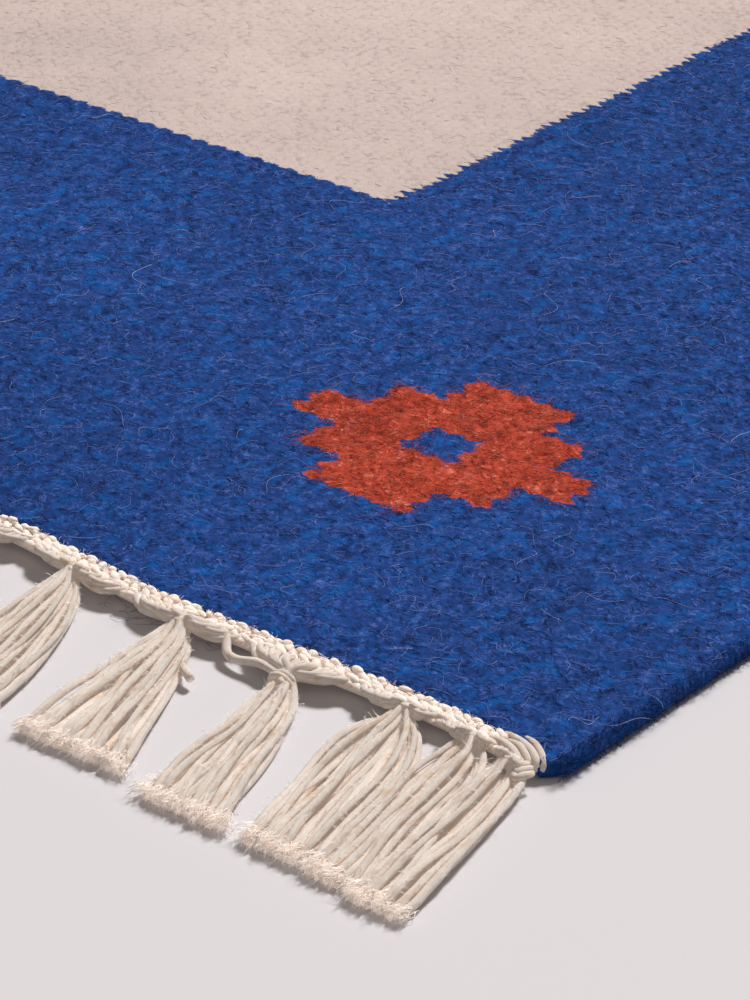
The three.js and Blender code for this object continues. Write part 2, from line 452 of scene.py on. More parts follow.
def yarn_mesh(name, paths, bevel_sides=1, resolution=3):
    """Round yarns along smooth paths as one mesh. Each path is rows of x, y, z and radius in mm."""
    curve = bpy.data.curves.new(name, "CURVE")
    curve.dimensions = "3D"
    curve.bevel_depth = MM
    curve.bevel_resolution = bevel_sides
    curve.use_fill_caps = True
    for path in paths:
        path = np.asarray(path, float)
        spline = curve.splines.new("NURBS")
        spline.points.add(len(path) - 1)
        places = np.column_stack([path[:, :3] * MM, np.ones(len(path))])
        spline.points.foreach_set("co", places.ravel())
        spline.points.foreach_set("radius", path[:, 3])
        spline.order_u = 4
        spline.use_endpoint_u = True
        spline.resolution_u = resolution
    drawn = bpy.data.objects.new(name, curve)
    bpy.context.scene.collection.objects.link(drawn)
    graph = bpy.context.evaluated_depsgraph_get()
    mesh = bpy.data.meshes.new_from_object(drawn.evaluated_get(graph))
    bpy.data.objects.remove(drawn)
    bpy.data.curves.remove(curve)
    bm = bmesh.new()
    bm.from_mesh(mesh)
    bmesh.ops.remove_doubles(bm, verts=bm.verts[:], dist=1e-6)
    bmesh.ops.recalc_face_normals(bm, faces=bm.faces[:])
    bm.to_mesh(mesh)
    bm.free()
    return mesh


def to_frame(end, points):
    """Points given as across, out and height of an end, as x, y and z of the frame."""
    turn = ENDS[end]["turn"]
    points = np.asarray(points, float).copy()
    points[..., 0] *= turn
    points[..., 1] = -turn * (HALF_LENGTH + points[..., 1])
    return points


# ---------------------------------------------------------------- materials


def add_node(tree, kind, inputs=None, **settings):
    """Adds one shader node with its settings. Each input is a number, a colour, a socket, or a
    node, which stands for its first output that is in use."""
    node = tree.nodes.new("ShaderNode" + kind)
    for name, value in settings.items():
        setattr(node, name, value)
    for key, value in (inputs or {}).items():
        if isinstance(key, str):
            socket = next(s for s in node.inputs if s.name == key and s.enabled)
        else:
            socket = node.inputs[key]
        if isinstance(value, bpy.types.Node):
            value = next(s for s in value.outputs if s.enabled)
        if isinstance(value, bpy.types.NodeSocket):
            tree.links.new(value, socket)
        else:
            socket.default_value = value
    return node


def new_material(name, roughness, sheen, sheen_tint):
    """A material with one Principled shader, and the tree's own add function."""
    material = bpy.data.materials.new(name)
    material.use_nodes = True
    tree = material.node_tree
    shader = tree.nodes["Principled BSDF"]
    shader.inputs["Roughness"].default_value = roughness
    shader.inputs["Specular IOR Level"].default_value = 0.05
    shader.inputs["Sheen Weight"].default_value = sheen
    shader.inputs["Sheen Roughness"].default_value = 0.5
    shader.inputs["Sheen Tint"].default_value = sheen_tint
    return material, shader, functools.partial(add_node, tree)


def ramp_stops(ramp, stops):
    """Sets a colour ramp's stops, each a place and a linear colour."""
    elements = ramp.color_ramp.elements
    while len(elements) < len(stops):
        elements.new(0.5)
    for element, (place, colour) in zip(elements, stops):
        element.position = place
        element.color = colour


def toned(colour, share):
    """A linear colour made darker or lighter."""
    return (*[min(1.0, c * share) for c in colour[:3]], 1.0)


def flatweave_wool():
    """Weft-faced flat weave of carded wool, washed until it felts a little. Gives a matt cloth of
    short streaks along the weft, with a dent wherever a weft yarn dives under a warp, and three
    dyed colours that meet in teeth one warp wide. The colour rises and falls with the relief, paler
    on clumps and float tops and darker in dents: partly the wool's own uneven tone, partly painted
    light and shade."""
    sizes = bpy.context.scene.rug_sizes
    hues = bpy.context.scene.rug_colours
    material, shader, add = new_material("felted_flatweave_wool", 0.95, 0.02, linear("#b8c4ee"))
    place = add("TexCoord")
    mm = add("Mapping", {"Vector": place.outputs["Object"], "Scale": (1 / MM,) * 3})

    # Clumps of carded wool some 3 mm across, finer tufts on them, and crossing wisps, all bent by
    # a slow noise.
    bend = add("TexNoise", {"Vector": mm, "Scale": 0.1, "Detail": 2.0})
    bent = add(
        "VectorMath",
        {0: bend.outputs["Color"], 1: (1.5, 1.5, 0.0), 2: mm},
        operation="MULTIPLY_ADD",
    )
    clump_place = add(
        "Mapping", {"Vector": bent, "Rotation": NAP, "Scale": (2.5, 4.0, 3.0)}, vector_type="TEXTURE"
    )
    clumps = add("TexNoise", {"Vector": clump_place, "Scale": 1.0, "Detail": 2.0, "Roughness": 0.5})
    tuft_place = add(
        "Mapping", {"Vector": bent, "Rotation": NAP, "Scale": (1.2, 2.0, 1.6)}, vector_type="TEXTURE"
    )
    tufts = add("TexNoise", {"Vector": tuft_place, "Scale": 1.0, "Detail": 1.5, "Roughness": 0.5})
    wisp_place = add("Mapping", {"Vector": bent, "Rotation": (0, 0, 0.9), "Scale": (0.4, 0.9, 1.0)})
    wisps = add("TexNoise", {"Vector": wisp_place, "Scale": 1.0, "Detail": 2.0, "Roughness": 0.6})
    cross_place = add("Mapping", {"Vector": bent, "Rotation": (0, 0, -1.2), "Scale": (0.4, 0.9, 1.0)})
    crossing = add("TexNoise", {"Vector": cross_place, "Scale": 1.0, "Detail": 2.0, "Roughness": 0.6})
    either = add("Math", {0: wisps, 1: crossing}, operation="MAXIMUM")

    # The weave: a column per warp, and floats that step by half from column to column.
    apart = add("SeparateXYZ", {"Vector": mm})
    column = add(
        "Math",
        {0: apart.outputs["X"], 1: MM / sizes.warp_spacing},
        operation="MULTIPLY",
    )
    column_number = add("Math", {0: column}, operation="FLOOR")
    odd = add("Math", {0: column_number, 1: 2.0}, operation="FLOORED_MODULO")
    row = add("Math", {0: apart.outputs["Y"], 1: MM / sizes.pick_pair}, operation="MULTIPLY")
    stepped = add("Math", {0: odd, 1: 0.5, 2: row}, operation="MULTIPLY_ADD")
    across_angle = add("Math", {0: column, 1: math.pi}, operation="MULTIPLY")
    along_angle = add("Math", {0: stepped, 1: math.pi}, operation="MULTIPLY")
    across_sine = add("Math", {0: across_angle}, operation="SINE")
    along_sine = add("Math", {0: along_angle}, operation="SINE")
    product = add("Math", {0: across_sine, 1: along_sine}, operation="MULTIPLY")
    dome = add("Math", {0: product}, operation="ABSOLUTE")
    floats = add("Math", {0: dome, 1: 0.55}, operation="POWER")

    # Dents: places where the felt has opened, some 2.5 mm across. They are cut into the relief and also darkened in
    # the colour, and that darkening is painted shade.
    dent_place = add(
        "Mapping",
        {"Vector": bent, "Location": (5, 9, 0), "Rotation": NAP, "Scale": (1.9, 3.4, 3.0)},
        vector_type="TEXTURE",
    )
    dent_noise = add("TexNoise", {"Vector": dent_place, "Scale": 1.0, "Detail": 2.0, "Roughness": 0.5})
    dents = add(
        "MapRange",
        {"Value": dent_noise, "From Min": 0.47, "From Max": 0.3},
        interpolation_type="SMOOTHSTEP",
    )

    # Edges between colours, in folded coordinates because all four corners are alike. Each is
    # frayed by a fine noise and cut into teeth: one warp deep along the warp, shallow along the weft.
    fray = add("TexNoise", {"Vector": mm, "Scale": 0.9, "Detail": 2.0, "Roughness": 0.6})
    frayed = add(
        "VectorMath",
        {0: fray.outputs["Color"], 1: (2.4, 2.4, 0.0), 2: mm},
        operation="MULTIPLY_ADD",
    )
    centred = add("VectorMath", {0: frayed, 1: (1.2, 1.2, 0.0)}, operation="SUBTRACT")
    folded = add("VectorMath", {0: centred}, operation="ABSOLUTE")
    fold = add("SeparateXYZ", {"Vector": folded})
    across, along = fold.outputs["X"], fold.outputs["Y"]
    slow = add("TexNoise", {"Vector": mm, "Scale": 0.016, "Detail": 1.0})
    sway = add(
        "MapRange",
        {"Value": slow, "From Min": 0.3, "From Max": 0.7, "To Min": -2.2, "To Max": 2.2},
    )
    pick_place = add("Mapping", {"Vector": mm, "Scale": (0.01, 0.3, 0.0)})
    pick_noise = add("TexNoise", {"Vector": pick_place, "Scale": 1.0, "Detail": 1.0})
    pick_jump = add(
        "MapRange",
        {"Value": pick_noise, "From Min": 0.3, "From Max": 0.7, "To Min": -1.1, "To Max": 1.1},
    )
    tooth = add("Math", {0: along, 1: sizes.pick_pair / MM / 2}, operation="PINGPONG")
    scallop_angle = add(
        "Math",
        {0: across, 1: math.pi * MM / sizes.warp_spacing / 2},
        operation="MULTIPLY",
    )
    scallop_sine = add("Math", {0: scallop_angle}, operation="SINE")
    scallop = add("Math", {0: scallop_sine}, operation="ABSOLUTE")
    side_wander = add("Math", {0: sway, 1: pick_jump}, operation="ADD")
    side_place = add("Math", {0: across, 1: side_wander}, operation="ADD")
    border = sizes.border_width / MM
    field_side = add("Math", {0: tooth, 1: 1.3, 2: side_place}, operation="MULTIPLY_ADD")
    field_side_in = add(
        "Math", {0: field_side, 1: HALF_WIDTH - border + 1.1}, operation="SUBTRACT"
    )
    end_place = add("Math", {0: sway, 1: 0.5, 2: along}, operation="MULTIPLY_ADD")
    field_end = add("Math", {0: scallop, 1: 1.4, 2: end_place}, operation="MULTIPLY_ADD")
    field_end_in = add(
        "Math", {0: field_end, 1: HALF_LENGTH - border + 0.7}, operation="SUBTRACT"
    )
    field_reach = add("Math", {0: field_side_in, 1: field_end_in}, operation="MAXIMUM")
    field = add(
        "MapRange",
        {"Value": field_reach, "From Min": 0.5, "From Max": -0.5},
        interpolation_type="SMOOTHSTEP",
    )

    # The corner figure: a lozenge of five steps with a blue eye.
    figure_place = add("VectorMath", {0: folded, 1: (*FIGURE_MIDDLE, 0.0)}, operation="SUBTRACT")
    figure_folded = add("VectorMath", {0: figure_place}, operation="ABSOLUTE")
    figure = add("SeparateXYZ", {"Vector": figure_folded})
    from_side, from_middle = figure.outputs["X"], figure.outputs["Y"]
    wide_tooth = add("Math", {0: along, 1: sizes.pick_pair / MM}, operation="PINGPONG")
    toothed = add("Math", {0: wide_tooth, 1: 0.6, 2: from_side}, operation="MULTIPLY_ADD")
    toothed_side = add("Math", {0: toothed, 1: pick_jump}, operation="ADD")
    scalloped = add("Math", {0: scallop, 1: 1.4, 2: from_middle}, operation="MULTIPLY_ADD")
    scalloped_end = add("Math", {0: scalloped, 1: 0.7}, operation="SUBTRACT")
    step_share = add(
        "Math", {0: scalloped_end, 1: 1 / FIGURE_STEP[1], 2: 0.5}, operation="MULTIPLY_ADD"
    )
    step = add("Math", {0: step_share}, operation="FLOOR")
    half_width = add("Math", {0: step, 1: -FIGURE_STEP[0], 2: FIGURE_HALF[0] + 1}, operation="MULTIPLY_ADD")
    side_reach = add("Math", {0: toothed_side, 1: half_width}, operation="SUBTRACT")
    end_reach = add("Math", {0: scalloped_end, 1: FIGURE_HALF[1]}, operation="SUBTRACT")
    outline = add("Math", {0: side_reach, 1: end_reach}, operation="MAXIMUM")
    eye_side = add("Math", {0: FIGURE_EYE[0] + 1, 1: toothed_side}, operation="SUBTRACT")
    eye_end = add("Math", {0: FIGURE_EYE[1], 1: scalloped_end}, operation="SUBTRACT")
    eye = add("Math", {0: eye_side, 1: eye_end}, operation="MINIMUM")
    rust_reach = add("Math", {0: outline, 1: eye}, operation="MAXIMUM")
    rust = add(
        "MapRange",
        {"Value": rust_reach, "From Min": 0.5, "From Max": -0.5},
        interpolation_type="SMOOTHSTEP",
    )

    # Colour: each dyed wool is a ramp over the same locks and hairs. Those noises also raise the relief,
    # and the dents lower it, so raised places come out paler and dents darker: partly the wool's own
    # uneven tone, partly painted light and shade.
    tone_wisps = add("Math", {0: either, 1: 0.25}, operation="MULTIPLY")
    tone_tufts = add("Math", {0: tufts, 1: 0.35, 2: tone_wisps}, operation="MULTIPLY_ADD")
    tone_clumps = add("Math", {0: clumps, 1: 0.40, 2: tone_tufts}, operation="MULTIPLY_ADD")
    tone = add("Math", {0: dents, 1: -0.08, 2: tone_clumps}, operation="MULTIPLY_ADD")
    blue_ramp = add("ValToRGB", {"Fac": tone})
    ramp_stops(
        blue_ramp,
        [
            (0.38, tuple(hues.navy)),
            (0.46, tuple(hues.blue)),
            (0.56, toned(hues.blue, 1.3)),
            (0.68, tuple(hues.pale_blue)),
        ],
    )
    fleck_place = add("Mapping", {"Vector": bent, "Location": (31, 7, 0), "Scale": (0.3, 0.18, 0.3)})
    fleck_noise = add("TexNoise", {"Vector": fleck_place, "Scale": 1.0, "Detail": 2.0})
    azure_share = add(
        "MapRange",
        {"Value": fleck_noise, "From Min": 0.54, "From Max": 0.66, "To Max": 0.7},
    )
    violet_share = add(
        "MapRange",
        {"Value": fleck_noise, "From Min": 0.45, "From Max": 0.33, "To Max": 0.12},
    )
    azured = add(
        "Mix",
        {"Factor": azure_share, "A": blue_ramp, "B": tuple(hues.azure)},
        data_type="RGBA",
    )
    felt_blue = add(
        "Mix",
        {"Factor": violet_share, "A": azured, "B": tuple(hues.violet)},
        data_type="RGBA",
    )

    # Light curled hairs that lie in the felt: level lines of smooth noises, broken by another.
    # Some 0.2 mm wide, which is coarser than wool, so that they show.
    blue = felt_blue
    for k, (scale, strength) in enumerate(((0.20, 0.36), (0.27, 0.28), (0.36, 0.2))):
        shift = (17.0 * k + 3, 5.0 * k + 1, 0.0)
        hair_place = add("Mapping", {"Vector": bent, "Location": shift, "Scale": (scale, scale * 1.2, 0.0)})
        hair_noise = add("TexNoise", {"Vector": hair_place, "Scale": 1.0, "Detail": 1.0, "Roughness": 0.35})
        level = add("Math", {0: hair_noise, 1: 7.0}, operation="MULTIPLY")
        from_line = add("Math", {0: level, 1: 0.5}, operation="PINGPONG")
        line = add("MapRange", {"Value": from_line, "From Min": 0.5 * scale, "From Max": 0.1 * scale})
        break_place = add("Mapping", {"Vector": bent, "Location": shift, "Scale": (0.31, 0.23, 0.0)})
        break_noise = add("TexNoise", {"Vector": break_place, "Scale": 1.0, "Detail": 1.0})
        there = add(
            "MapRange",
            {"Value": break_noise, "From Min": 0.53, "From Max": 0.62, "To Max": strength},
        )
        hair = add("Math", {0: line, 1: there}, operation="MULTIPLY")
        blue = add("Mix", {"Factor": hair, "A": blue, "B": linear("#6c86dc")}, data_type="RGBA")
    # The float tops are paler and the places between them, where the weft dives, darker: painted shade in the
    # weave's grooves, beside the real relief of the floats.
    float_share = add("Math", {0: floats, 1: 0.12}, operation="MULTIPLY")
    cream_tone = add("Math", {0: tone, 1: 0.85, 2: float_share}, operation="MULTIPLY_ADD")
    cream = add("ValToRGB", {"Fac": cream_tone})
    ramp_stops(
        cream,
        [
            (0.36, toned(hues.cream, 0.8)),
            (0.47, toned(hues.cream, 0.97)),
            (0.56, tuple(hues.cream)),
            (0.70, toned(hues.cream, 1.08)),
        ],
    )
    rust_ramp = add("ValToRGB", {"Fac": tone})
    ramp_stops(
        rust_ramp,
        [
            (0.36, toned(hues.rust, 0.5)),
            (0.48, toned(hues.rust, 0.92)),
            (0.57, toned(hues.rust, 1.15)),
            (0.68, linear("#d28272")),
        ],
    )
    bordered = add("Mix", {"Factor": field, "A": blue, "B": cream}, data_type="RGBA")
    dyed = add("Mix", {"Factor": rust, "A": bordered, "B": rust_ramp}, data_type="RGBA")
    broad_noise = add("TexNoise", {"Vector": mm, "Scale": 0.011, "Detail": 3.0})
    broad = add(
        "MapRange",
        {"Value": broad_noise, "From Min": 0.3, "From Max": 0.7, "To Min": 0.9, "To Max": 1.1},
    )
    final = add("VectorMath", {0: dyed, "Scale": broad}, operation="SCALE")
    tree = material.node_tree
    tree.links.new(final.outputs[0], shader.inputs["Base Color"])

    # Relief in millimetres: floats, clumps, tufts, wisps and dents.
    relief_floats = add("Math", {0: floats, 1: 0.08}, operation="MULTIPLY")
    relief_clumps = add("Math", {0: clumps, 1: 0.55, 2: relief_floats}, operation="MULTIPLY_ADD")
    relief_tufts = add("Math", {0: tufts, 1: 0.24, 2: relief_clumps}, operation="MULTIPLY_ADD")
    relief_wisps = add("Math", {0: either, 1: 0.06, 2: relief_tufts}, operation="MULTIPLY_ADD")
    felted = add("Math", {0: dents, 1: -0.3, 2: relief_wisps}, operation="MULTIPLY_ADD")
    calm = add("Math", {0: field, 1: -0.72, 2: 1.0}, operation="MULTIPLY_ADD")
    relief = add("Math", {0: felted, 1: calm}, operation="MULTIPLY")
    bump = add("Bump", {"Height": relief, "Strength": 1.0, "Distance": MM})
    tree.links.new(bump.outputs[0], shader.inputs["Normal"])
    return material


def loose_wool(name, dark, middle, light):
    """Loose wool fibres pulled out of the yarn by brushing and wear. Gives thin matt hairs with a
    soft sheen, some darker and some lighter than the yarn below."""
    material, shader, add = new_material(name, 0.8, 0.2, toned(light, 1.3))
    shade = add("Attribute", attribute_name="shade")
    ramp = add("ValToRGB", {"Fac": shade.outputs["Fac"]})
    ramp_stops(ramp, [(0.0, dark), (0.5, middle), (1.0, light)])
    material.node_tree.links.new(ramp.outputs[0], shader.inputs["Base Color"])
    return material


def cotton(name, colour, spots, grain, depth, glow):
    """Undyed carded cotton. Gives a warm off-white with soft darker flecks, and a fine fuzz whose
    grain runs along the yarn. Its crevices are darkened to tan by an occlusion ramp, which is painted
    shade, and given a faint warm emission where they are deepest, which is a painted glow."""
    material, shader, add = new_material(name, 0.9, 0.1, linear("#fff4e8"))
    shader.inputs["Subsurface Weight"].default_value = 0.3
    shader.inputs["Subsurface Radius"].default_value = (1.0, 1.0, 1.0)
    shader.inputs["Subsurface Scale"].default_value = 0.5 * MM
    # Colour of the painted glow: a faint warm emission, strongest in the crevices, though nothing there is a lamp.
    shader.inputs["Emission Color"].default_value = linear("#fff0e8")
    place = add("TexCoord")
    mm = add("Mapping", {"Vector": place.outputs["Object"], "Scale": (1 / MM,) * 3})
    patch_place = add("Mapping", {"Vector": mm, "Rotation": (0, 0, 0.25), "Scale": (0.45, 0.13, 0.45)})
    patches = add("TexNoise", {"Vector": patch_place, "Scale": 1.0, "Detail": 2.0})
    ramp = add("ValToRGB", {"Fac": patches})
    ramp_stops(
        ramp,
        [(0.30, spots), (0.42, toned(colour, 0.97)), (0.52, colour)],
    )
    strand_place = add("Mapping", {"Vector": mm, "Rotation": (0, 0, 0.25), "Scale": (1.0, 0.5, 1.0)})
    fuzz = add("TexNoise", {"Vector": strand_place, "Scale": grain, "Detail": 3.0, "Roughness": 0.6})
    mottle = add(
        "MapRange", {"Value": fuzz, "From Min": 0.34, "From Max": 0.6, "To Min": 0.9, "To Max": 1.0}
    )
    # Occlusion within 2.4 mm darkens the crevices between and under the yarns to tan: painted shade.
    shade = add("AmbientOcclusion", {"Distance": 2.4 * MM}, samples=5)
    painted_crevice_shade = add("ValToRGB", {"Fac": shade.outputs["AO"]})
    ramp_stops(
        painted_crevice_shade,
        [(0.0, linear("#a88b72")), (0.3, linear("#dfd0bf")), (0.6, (1, 1, 1, 1))],
    )
    lit = add("Mix", {"Factor": 1.0, "A": ramp, "B": mottle}, data_type="RGBA", blend_type="MULTIPLY")
    shaded = add("Mix", {"Factor": 1.0, "A": lit, "B": painted_crevice_shade}, data_type="RGBA", blend_type="MULTIPLY")
    apart = add("SeparateXYZ", {"Vector": place.outputs["UV"]})
    twist = add(
        "Math",
        {0: apart.outputs["Y"], 1: 24.0, 2: apart.outputs["X"]},
        operation="MULTIPLY_ADD",
    )
    twist_angle = add("Math", {0: twist, 1: 2 * math.pi}, operation="MULTIPLY")
    ply = add("Math", {0: twist_angle}, operation="SINE")
    relief_ply = add("Math", {0: ply, 1: 0.06}, operation="MULTIPLY")
    relief = add("Math", {0: fuzz, 1: depth, 2: relief_ply}, operation="MULTIPLY_ADD")
    bump = add("Bump", {"Height": relief, "Strength": 1.0, "Distance": MM})
    tree = material.node_tree
    # Emission that rises where the occlusion is deep: a painted glow that lifts the shade in the crevices.
    painted_crevice_glow = add("Math", {0: shade.outputs["AO"], 1: -glow, 2: glow}, operation="MULTIPLY_ADD")
    tree.links.new(shaded.outputs["Result"], shader.inputs["Base Color"])
    tree.links.new(painted_crevice_glow.outputs[0], shader.inputs["Emission Strength"])
    tree.links.new(bump.outputs[0], shader.inputs["Normal"])
    return material


def painted_floor():
    """Smooth board painted pale grey. Gives a matt, nearly even tone."""
    material, shader, add = new_material("pale_painted_board", 0.75, 0.0, (1, 1, 1, 1))
    place = add("TexCoord")
    cloud = add("TexNoise", {"Vector": place.outputs["Object"], "Scale": 1.5, "Detail": 2.0})
    hue = tuple(bpy.context.scene.rug_colours.floor)
    ramp = add("ValToRGB", {"Fac": cloud})
    ramp_stops(ramp, [(0.3, toned(hue, 0.99)), (0.7, toned(hue, 1.01))])
    material.node_tree.links.new(ramp.outputs[0], shader.inputs["Base Color"])
    return material


# ---------------------------------------------------------------- the pieces


def grid_places(start, fine_start, fine_end, end, fine, coarse):
    """Places of grid lines from start to end, close together only in the fine stretch."""
    def run(a, b, step):
        return np.linspace(a, b, max(1, round((b - a) / step)) + 1)[:-1]

    parts = [run(start, fine_start, coarse)] if fine_start > start else []
    parts.append(run(fine_start, fine_end, fine))
    if end > fine_end:
        parts.append(run(fine_end, end, coarse))
    return np.append(np.concatenate(parts), end)


class RUG_OT_cloth(bpy.types.Operator):
    """Weave the cloth: one flat piece with rounded edges, and ears at its corners"""

    bl_idname = "rug.weave_cloth"
    bl_label = "Weave the cloth"

    def execute(self, context):
        inner_x = HALF_WIDTH - EDGE_ROUNDING
        inner_y = HALF_LENGTH - EDGE_ROUNDING
        columns = grid_places(-inner_x, FINE_FROM_X, inner_x, inner_x, GRID_STEP, COARSE_COLUMN)
        rows = grid_places(-inner_y, -inner_y, FINE_TO_Y, inner_y, GRID_STEP, COARSE_ROW)
        bm = bmesh.new()
        bmesh.ops.create_grid(bm, x_segments=len(columns) - 1, y_segments=len(rows) - 1, size=1)
        mesh = bpy.data.meshes.new("rug")
        bm.to_mesh(mesh)
        places = np.zeros(len(mesh.vertices) * 3)
        mesh.vertices.foreach_get("co", places)
        places = places.reshape(-1, 3)
        i = np.rint((places[:, 0] + 1) / 2 * (len(columns) - 1)).astype(int)
        j = np.rint((places[:, 1] + 1) / 2 * (len(rows) - 1)).astype(int)
        x, y = columns[i], rows[j]
        stops = np.arange(round(2 * HALF_LENGTH / SELVEDGE_STEP) + 1)
        ways = stops * SELVEDGE_STEP - HALF_LENGTH
        plain = (stops == 0) | (stops == stops[-1])
        for sign, salt in ((1, 1), (-1, 2)):
            wander = [0 if p else SELVEDGE_WANDER * uneven(int(s), salt) for s, p in zip(stops, plain)]
            side = sign * x > 0
            x[side] += sign * np.interp(y[side], ways, wander) * (np.abs(x[side]) / inner_x) ** 8
        near_share = np.clip(1 - (y + inner_y) / 150, 0, 1) ** 2
        far_share = np.clip(1 - (inner_y - y) / 150, 0, 1) ** 2
        y = y - near_share * reach_at("near", x) + far_share * reach_at("far", -x)
        y = y - HEADING_OVERLAP * near_share**6
        from_side = np.clip((np.abs(x) - inner_x + CORNER_SOFT) / CORNER_SOFT, 0, 1)
        from_end = np.clip(1 - (j * GRID_STEP) / CORNER_SOFT, 0, 1)
        cut_back = CORNER_CUT * CORNER_SOFT * (from_side * from_end) ** 1.5
        x = x - np.sign(x) * cut_back
        y = y + cut_back
        z = cloth_height(x, y)
        mesh.vertices.foreach_set("co", (np.column_stack([x, y, z]) * MM).ravel())
        bm.clear()
        bm.from_mesh(mesh)
        roll_the_rim(bm)
        bm.to_mesh(mesh)
        bm.free()
        piece_from(mesh, "rug", flatweave_wool(), ["rug_cloth"])
        return {"FINISHED"}


def roll_the_rim(bm):
    """Rolls the cloth's rim over and under in short steps, and closes the underside."""
    way = bm.verts.layers.float_vector.new("way")
    top = bm.verts.layers.float.new("top")
    rim = [e for e in bm.edges if e.is_boundary]
    for edge in rim:
        first, second = edge.verts
        outwards = (first.co + second.co) / 2 - edge.link_faces[0].calc_center_median()
        along = (second.co - first.co).normalized()
        outwards -= along * outwards.dot(along)
        outwards.z = 0
        for vert in edge.verts:
            vert[way] = vert[way] + outwards.normalized()
            vert[top] = vert.co.z
    angles = [math.radians(a) for a in (0, 36, 72, 108, 144, 180)]
    for before, after in zip(angles, angles[1:]):
        made = bmesh.ops.extrude_edge_only(bm, edges=rim)["geom"]
        rim = [g for g in made if isinstance(g, bmesh.types.BMEdge)]
        out = EDGE_ROUNDING * MM * (math.sin(after) - math.sin(before))
        for vert in {v for e in rim for v in e.verts}:
            vert.co += vert[way].normalized() * out
            vert.co.z = vert[top] * (1 + math.cos(after)) / 2
    bmesh.ops.holes_fill(bm, edges=rim, sides=0)
    bmesh.ops.recalc_face_normals(bm, faces=bm.faces[:])
    bm.verts.layers.float_vector.remove(way)
    bm.verts.layers.float.remove(top)


def heading_strip(end):
    """The ground of a heading: a strip with rolled edges from the cloth out to the rope."""
    places, reach = ENDS[end]["line"]
    across = np.arange(places[1] + 3, places[-2] - 2, 2.0)
    out = np.interp(across, places, reach)
    low, high = 1.8, 3.6
    bm = bmesh.new()
    bmesh.ops.create_grid(bm, x_segments=len(across) - 1, y_segments=4, size=1)
    bulge = (0.5, 0.92, 1.0, 0.92, 0.5)
    for vert in bm.verts:
        i = round((vert.co.x + 1) / 2 * (len(across) - 1))
        j = round((vert.co.y + 1) * 2)
        share = bulge[j]
        vert.co = Vector(
            to_frame(end, (across[i], out[i] + 5.2 - j * 1.5, low + (high - low) * share))
        ) * MM
    solid = bmesh.ops.extrude_face_region(bm, geom=bm.faces[:])
    under = [g for g in solid["geom"] if isinstance(g, bmesh.types.BMVert)]
    for vert in under:
        vert.co.z = low * MM
    bmesh.ops.recalc_face_normals(bm, faces=bm.faces[:])
    mesh = bpy.data.meshes.new("strip")
    bm.to_mesh(mesh)
    bm.free()
    return mesh


# The heading's rows of floats: distance out from the cloth, spacing in warps, half sizes of one
# float, how far it is turned, and the height of its middle.
HEADING_ROWS = (
    {"out": 0.7, "warps": 2.08, "half": (1.35, 0.95, 0.62), "turn": 12, "height": 4.1, "shift": 0.0},
    {"out": 1.2, "warps": 1.04, "half": (1.75, 0.95, 0.6), "turn": 24, "height": 3.85, "shift": 0.5},
    {"out": 2.5, "warps": 1.04, "half": (2.1, 1.0, 0.6), "turn": 32, "height": 3.85, "shift": 0.0},
    {"out": 3.8, "warps": 1.04, "half": (2.2, 1.0, 0.6), "turn": 26, "height": 3.85, "shift": 0.5},
    {"out": 4.9, "warps": 1.04, "half": (2.1, 0.9, 0.7), "turn": 18, "height": 3.35, "shift": 0.2},
)


def heading_fuzz(end, from_x, rng, count):
    """Short fibres that stand off the face of a heading, which softens its stitches."""
    template = fibre_template(1)
    across = rng.uniform(from_x, HALF_WIDTH - 11, count)
    out = rng.uniform(0.3, 6.4, count)
    roots = np.column_stack([across, reach_at(end, across) + out, 4.4 - 0.05 * out**1.6])
    aims = rng.normal(0, 0.7, (count, 3)) * (1, 0.7, 0.4) + (0, 0.35, 0.2)
    corners = bent_fibres(
        template, roots, aims, rng.uniform(0.6, 1.5, count), 0.06 * rng.uniform(0.7, 1.3, count),
        rng.uniform(0.1, 0.3, count), rng.uniform(1.0, 2.4, count), rng.uniform(0, 0.2, count), rng,
    )
    shade = rng.beta(2, 2, count)
    return joined_mesh("heading_fuzz", to_frame(end, corners), template[1][:, ::-1], shade)


def ball_template(subdivisions):
    bm = bmesh.new()
    bmesh.ops.create_icosphere(bm, subdivisions=subdivisions, radius=1)
    return template_of(bm)


def heading_floats(end, from_x, to_x, subdivisions, seed):
    """The knobbly face of one stretch of a heading: rows of short cotton floats."""
    rng = np.random.default_rng(seed)
    warp = bpy.context.scene.rug_sizes.warp_spacing / MM
    template, triangles = ball_template(subdivisions)
    meshes = []
    middles, halves, turns = [], [], []
    for row in HEADING_ROWS:
        step = warp * row["warps"]
        first, last = math.ceil(from_x / step), math.floor(to_x / step)
        across = (np.arange(first, last + 1) + row["shift"] * row["warps"] / 2) * step
        across = across[np.abs(across) < HALF_WIDTH - 10 - row["out"] * 0.6]
        count = len(across)
        out = reach_at(end, across) + row["out"] + rng.normal(0, 0.12, count)
        height = row["height"] + rng.normal(0, 0.14, count)
        middles.append(np.column_stack([across + rng.normal(0, 0.18, count), out, height]))
        halves.append(np.array(row["half"]) * rng.uniform(0.78, 1.25, (count, 3)))
        turns.append(np.radians(row["turn"] + rng.normal(0, 15, count)))
    middles, halves = np.concatenate(middles), np.concatenate(halves)
    turns = np.concatenate(turns)
    shape = template[None] * halves[:, None]
    cos, sin = np.cos(turns)[:, None], np.sin(turns)[:, None]
    across = shape[..., 0] * cos - shape[..., 1] * sin
    out = shape[..., 0] * sin + shape[..., 1] * cos
    placed = np.stack([across, out, shape[..., 2]], -1) + middles[:, None]
    return joined_mesh("floats", to_frame(end, placed), triangles[:, ::-1])


# The heading's yarns that turn back at its end: distance out from the cloth, how far in from the
# selvedge each rises and turns, and how thick it is.
SELVEDGE_TURNS = (
    (-1.6, 13.0, 3.4, 0.85),
    (0.2, 16.5, 4.6, 1.0),
    (1.8, 14.5, 6.0, 0.9),
    (3.4, 18.0, 8.0, 1.0),
)


